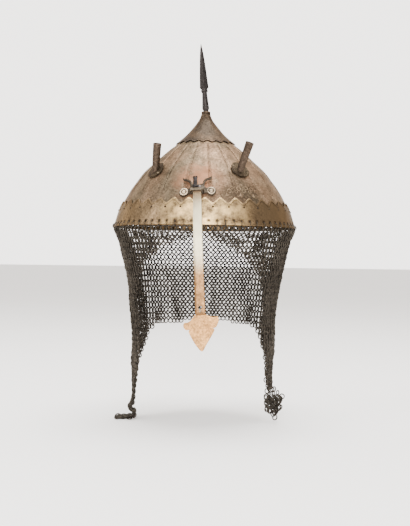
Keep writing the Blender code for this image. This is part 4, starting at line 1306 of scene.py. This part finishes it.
class KULAHKHUD_OT_mail(BuildPiece, bpy.types.Operator):
    """Build the curtain of mail, ring by ring, with each ring through four others"""

    bl_idname = "kulah_khud.mail"
    bl_label = "Mail curtain"

    SECTORS = (
        ("mail_front", -52, 52), ("mail_left_tail", -100, -52), ("mail_right_tail", 52, 100),
        ("mail_left_back", -180, -100), ("mail_right_back", 100, 180),
    )
    FIRST_ROW = 0.0033

    # Distance between the layers of the right tail's bunched end, and degrees from the front and depth below
    # the rim of the ring at its tip
    BUNCH = 0.0022
    LOOSE_RING = (79.2, 0.2086)

    # The rings through the band: their middles below the holes and inside the band, their size, and how far to
    # each side of the front the holes carry none
    HANGER_DROP = 0.0030
    HANGER_DEPTH = 0.0012
    HANGER_RADIUS = 0.0030
    HANGER_WIRE = 0.0007
    NASAL_WAY = radians(9)

    def build(self, shape, colours):
        material = self.finish(colours)
        chance = Random(11)
        frames = {name: [] for name, _, _ in self.SECTORS}
        count = shape.rings_round
        longest = max(hem.length for hem in (*LEFT_HEMS, *RIGHT_HEMS)) * CURTAIN_DROP
        for row in range(ceil(longest / shape.row_drop)):
            length = self.FIRST_ROW + row * shape.row_drop
            for ring in range(count):
                azimuth = 360 * (ring + (0.5 if row % 2 else 0)) / count
                azimuth -= 360 if azimuth > 180 else 0
                hems = RIGHT_HEMS if azimuth > 0 else LEFT_HEMS
                wander = 0.006 * noise.noise(Vector((azimuth * 0.12, 3.1, 0)))
                if length > (straight(hems, abs(azimuth)) + wander) * CURTAIN_DROP:
                    continue
                turn = shape.ring_turn * (-1 if row % 2 else 1) + radians(chance.gauss(0, 3.5))
                slack = chance.gauss(0, 0.00022), chance.gauss(0, 0.00022)
                at = self.hang(azimuth, length, slack)
                at = at @ Matrix.Rotation(turn, 4, "Y") @ Matrix.Rotation(radians(chance.gauss(0, 4)), 4, "Z")
                lying = sqrt(max(1 - at.to_3x3().col[2].z ** 2, 0))
                lowest = at.translation.z - shape.ring_radius * lying - shape.ring_wire / 2
                at = Matrix.Translation((0, 0, max(FLOOR - lowest, 0))) @ at
                sector = next(name for name, low, high in self.SECTORS if low <= azimuth <= high)
                frames[sector].append(at)
                if azimuth > 0 and -length / FLOOR > TAIL_TURN_TO:
                    for step in (1, 2):
                        behind = at @ Matrix.Translation((self.BUNCH * (1.5 - step), self.BUNCH / 2, -step * self.BUNCH))
                        frames[sector].append(behind @ Matrix.Rotation(-2 * turn, 4, "Y"))
        for name, places in frames.items():
            unit = ring_mesh(name, shape.ring_radius, shape.ring_wire, 12, 5)
            add(name, joined(name, unit, places), material, stands_for=["mail_curtain"], crease=None)
        self.hangers(material)
        self.loose_ring(shape, material)

    def hang(self, azimuth, length, slack):
        """The frame of a ring: x across the curtain, y up it and z out of it. Low down, the left tail folds on the
        floor and the right tail turns its face to the front."""
        turn = radians(azimuth)
        depth = -FLOOR
        start = LEFT_FOLDS[0].height * depth

        def middle(along):
            if azimuth > 0 or along <= start:
                return RIM_RADIUS * smooth(MAIL, along / depth), -along
            left = along - start
            for low, high in zip(LEFT_FOLDS, LEFT_FOLDS[1:]):
                out, down = (high.radius - low.radius) * RIM_RADIUS, (high.height - low.height) * depth
                step = hypot(out, down)
                if left <= step or high is LEFT_FOLDS[-1]:
                    return low.radius * RIM_RADIUS + out * left / step, -low.height * depth - down * left / step
                left -= step

        span = 0.0016
        (upper, high), (lower, low) = middle(length - span), middle(length + span)
        radius, height = (upper + lower) / 2, (high + low) / 2
        wave = Vector((azimuth * 0.075, length * 26, 1.7))
        radius += 0.0022 * min(length / 0.09, 1) * noise.noise(wave)
        shift = 0.0035 * min(length / 0.15, 1) * noise.noise(wave + Vector((9, 4, 2)))
        up = around(turn, upper - lower, high - low).normalized()
        side = Vector((cos(turn), sin(turn), 0))
        out = side.cross(up).normalized()
        point = around(turn, radius, height) + side * (slack[0] + shift) + out * slack[1]
        at = Matrix.Translation(point) @ Matrix((side, up, out)).transposed().to_4x4()
        if azimuth <= 0:
            return at
        share = min(max((length / depth - TAIL_TURN_FROM) / (TAIL_TURN_TO - TAIL_TURN_FROM), 0), 1)
        pivot = Matrix.Translation(around(TAIL_PIVOT, radius, 0))
        return pivot @ Matrix.Rotation(TAIL_TURN * share * share * (3 - 2 * share), 4, "Z") @ pivot.inverted() @ at

    def hangers(self, material):
        """The rings through the band's holes, each round the rim and through the mail's first row. The holes
        behind the nasal carry none, because the leaf passes them at the top of its slide."""
        chance = Random(5)
        places = []
        for hole in range(RIM_HOLES):
            turn = 2 * pi * (hole + 0.5) / RIM_HOLES
            if min(turn, 2 * pi - turn) < self.NASAL_WAY:
                continue
            inside = GAP + BAND_WALL / 2 - self.HANGER_DEPTH
            middle = over_skull(turn, RIM_HOLE_HEIGHT - self.HANGER_DROP, inside)
            side = Vector((cos(turn), sin(turn), 0))
            up = Vector((0, 0, 1))
            rows = Matrix((side.cross(up), up, -side)).transposed().to_4x4()
            swing = Matrix.Rotation(radians(chance.gauss(0, 9)), 4, "Y")
            places.append(Matrix.Translation(middle) @ rows @ swing)
        unit = ring_mesh("mail_hangers", self.HANGER_RADIUS, self.HANGER_WIRE, 16, 6)
        add("mail_hangers", joined("mail_hangers", unit, places), material, crease=None)

    def loose_ring(self, shape, material):
        """One ring that hangs by itself from the right tail's tip."""
        at = self.hang(*self.LOOSE_RING, (0, 0)) @ Matrix.Rotation(shape.ring_turn, 4, "Y")
        unit = ring_mesh("mail_loose_ring", shape.ring_radius, shape.ring_wire, 16, 6)
        add("mail_loose_ring", joined("mail_loose_ring", unit, [at]), material, crease=None)

    def finish(self, colours):
        return worn_iron(
            "mail_iron", colours.mail, darker(colours.mail, 1.45), darker(colours.mail, 0.35),
            stretch=(1, 1, 1), metallic=0.85, roughness=(0.32, 0.58), pits=0.0001,
        )[0]


class KULAHKHUD_OT_stage(bpy.types.Operator):
    """Set the pale floor, the soft light and the camera"""

    bl_idname = "kulah_khud.stage"
    bl_label = "Stage"
    bl_options = {"REGISTER", "UNDO"}

    LENS = 61.6
    AZIMUTH = radians(5)
    ROLL = radians(0.75)
    SIDE_STEP = 0.00114

    def execute(self, context):
        stage, colours = context.scene.kulah_khud_stage, context.scene.kulah_khud_colours
        self.floor(colours)
        self.light("front_light", (0.10, -1.75, 0.62), (0.9, 0.7), stage.key_power, (0, 0, 0.0))
        self.light("side_light", (-1.5, -0.7, 0.9), (0.8, 0.8), 0.45 * stage.key_power, (0, 0, 0))
        self.light("top_light", (0.1, 0.1, 1.7), (1.4, 1.4), stage.top_power, (0, 0, 0))
        self.world(context, stage)
        self.camera(context, stage)
        return {"FINISHED"}

    def floor(self, colours):
        shape = bmesh.new()
        bmesh.ops.create_circle(shape, cap_ends=True, segments=64, radius=40)
        bmesh.ops.translate(shape, verts=shape.verts, vec=(0, 0, FLOOR))
        mesh = mesh_of("floor", shape)
        material, tree, shader = finish("floor_paint", 0.0, 0.7)
        patches = ramp(tree, cloud(tree, objects_space(tree), 2.5, 2), (0.35, 0), (0.65, 1))
        tone = mixed(tree, patches, colours.floor, darker(colours.floor, 0.985))
        tree.links.new(tone, shader.inputs["Base Color"])
        mesh.materials.append(material)
        ground = bpy.data.objects.new("floor", mesh)
        bpy.context.scene.collection.objects.link(ground)

    def light(self, name, place, size, power, target):
        lamp = bpy.data.lights.new(name, "AREA")
        lamp.shape = "RECTANGLE"
        lamp.size, lamp.size_y = size
        lamp.energy = power
        item = bpy.data.objects.new(name, lamp)
        bpy.context.scene.collection.objects.link(item)
        item.location = place
        item.rotation_mode = "QUATERNION"
        item.rotation_quaternion = (Vector(target) - Vector(place)).to_track_quat("-Z", "Y")

    def world(self, context, stage):
        world = bpy.data.worlds.new("studio")
        world.use_nodes = True
        tree = world.node_tree
        back = tree.nodes["Background"]
        back.inputs["Color"].default_value = (1.0, 0.965, 0.93, 1)
        way = node(tree, "ShaderNodeTexCoord").outputs["Generated"]
        depth = node(tree, "ShaderNodeSeparateXYZ", Vector=way).outputs["Y"]
        wall = node(
            tree, "ShaderNodeMapRange", {"interpolation_type": "SMOOTHSTEP"}, Value=depth, From_Min=-0.1,
            From_Max=0.85, To_Min=stage.room, To_Max=stage.studio,
        )
        tree.links.new(wall.outputs["Result"], back.inputs["Strength"])
        context.scene.world = world

    def camera(self, context, stage):
        lens = bpy.data.cameras.new("camera")
        lens.lens = self.LENS
        lens.sensor_width = 36
        item = bpy.data.objects.new("camera", lens)
        context.scene.collection.objects.link(item)
        across = Vector((cos(self.AZIMUTH), sin(self.AZIMUTH), 0))
        place = around(self.AZIMUTH, stage.distance, stage.camera_height) + across * self.SIDE_STEP
        turn = Matrix.Rotation(self.AZIMUTH, 4, "Z") @ Matrix.Rotation(pi / 2, 4, "X")
        item.matrix_world = Matrix.Translation(place) @ turn @ Matrix.Rotation(self.ROLL, 4, "Z")
        context.scene.camera = item


BUILDERS = (
    KULAHKHUD_OT_bowl, KULAHKHUD_OT_band, KULAHKHUD_OT_cap, KULAHKHUD_OT_spike, KULAHKHUD_OT_plume_holders,
    KULAHKHUD_OT_bracket, KULAHKHUD_OT_nasal, KULAHKHUD_OT_mail, KULAHKHUD_OT_stage,
)


class KULAHKHUD_PT_panel(bpy.types.Panel):
    """The helmet's sizes, colours and builders"""

    bl_idname = "KULAHKHUD_PT_panel"
    bl_label = "Kulah Khud"
    bl_space_type = "VIEW_3D"
    bl_region_type = "UI"
    bl_category = "Kulah Khud"

    def draw(self, context):
        for title, group in (
            ("Shape", context.scene.kulah_khud_shape),
            ("Colours", context.scene.kulah_khud_colours),
            ("Stage", context.scene.kulah_khud_stage),
        ):
            box = self.layout.box()
            box.label(text=title)
            for name in group.__annotations__:
                box.prop(group, name)
        column = self.layout.column(align=True)
        for builder in BUILDERS:
            column.operator(builder.bl_idname)


GROUPS = {
    "kulah_khud_shape": KulahKhudShape,
    "kulah_khud_colours": KulahKhudColours,
    "kulah_khud_stage": KulahKhudStage,
}


def register():
    for group in GROUPS.values():
        bpy.utils.register_class(group)
    for name, group in GROUPS.items():
        setattr(bpy.types.Scene, name, PointerProperty(type=group))
    for item in (*BUILDERS, KULAHKHUD_PT_panel):
        bpy.utils.register_class(item)


def unregister():
    for item in (KULAHKHUD_PT_panel, *reversed(BUILDERS)):
        bpy.utils.unregister_class(item)
    for name, group in GROUPS.items():
        delattr(bpy.types.Scene, name)
        bpy.utils.unregister_class(group)


def main():
    register()
    for item in list(bpy.data.objects):
        if item.type in ("CAMERA", "LIGHT") or item.name == "Cube":
            bpy.data.objects.remove(item, do_unlink=True)
    for builder in BUILDERS:
        group, name = builder.bl_idname.split(".")
        getattr(getattr(bpy.ops, group), name)()


if __name__ == "__main__":
    main()
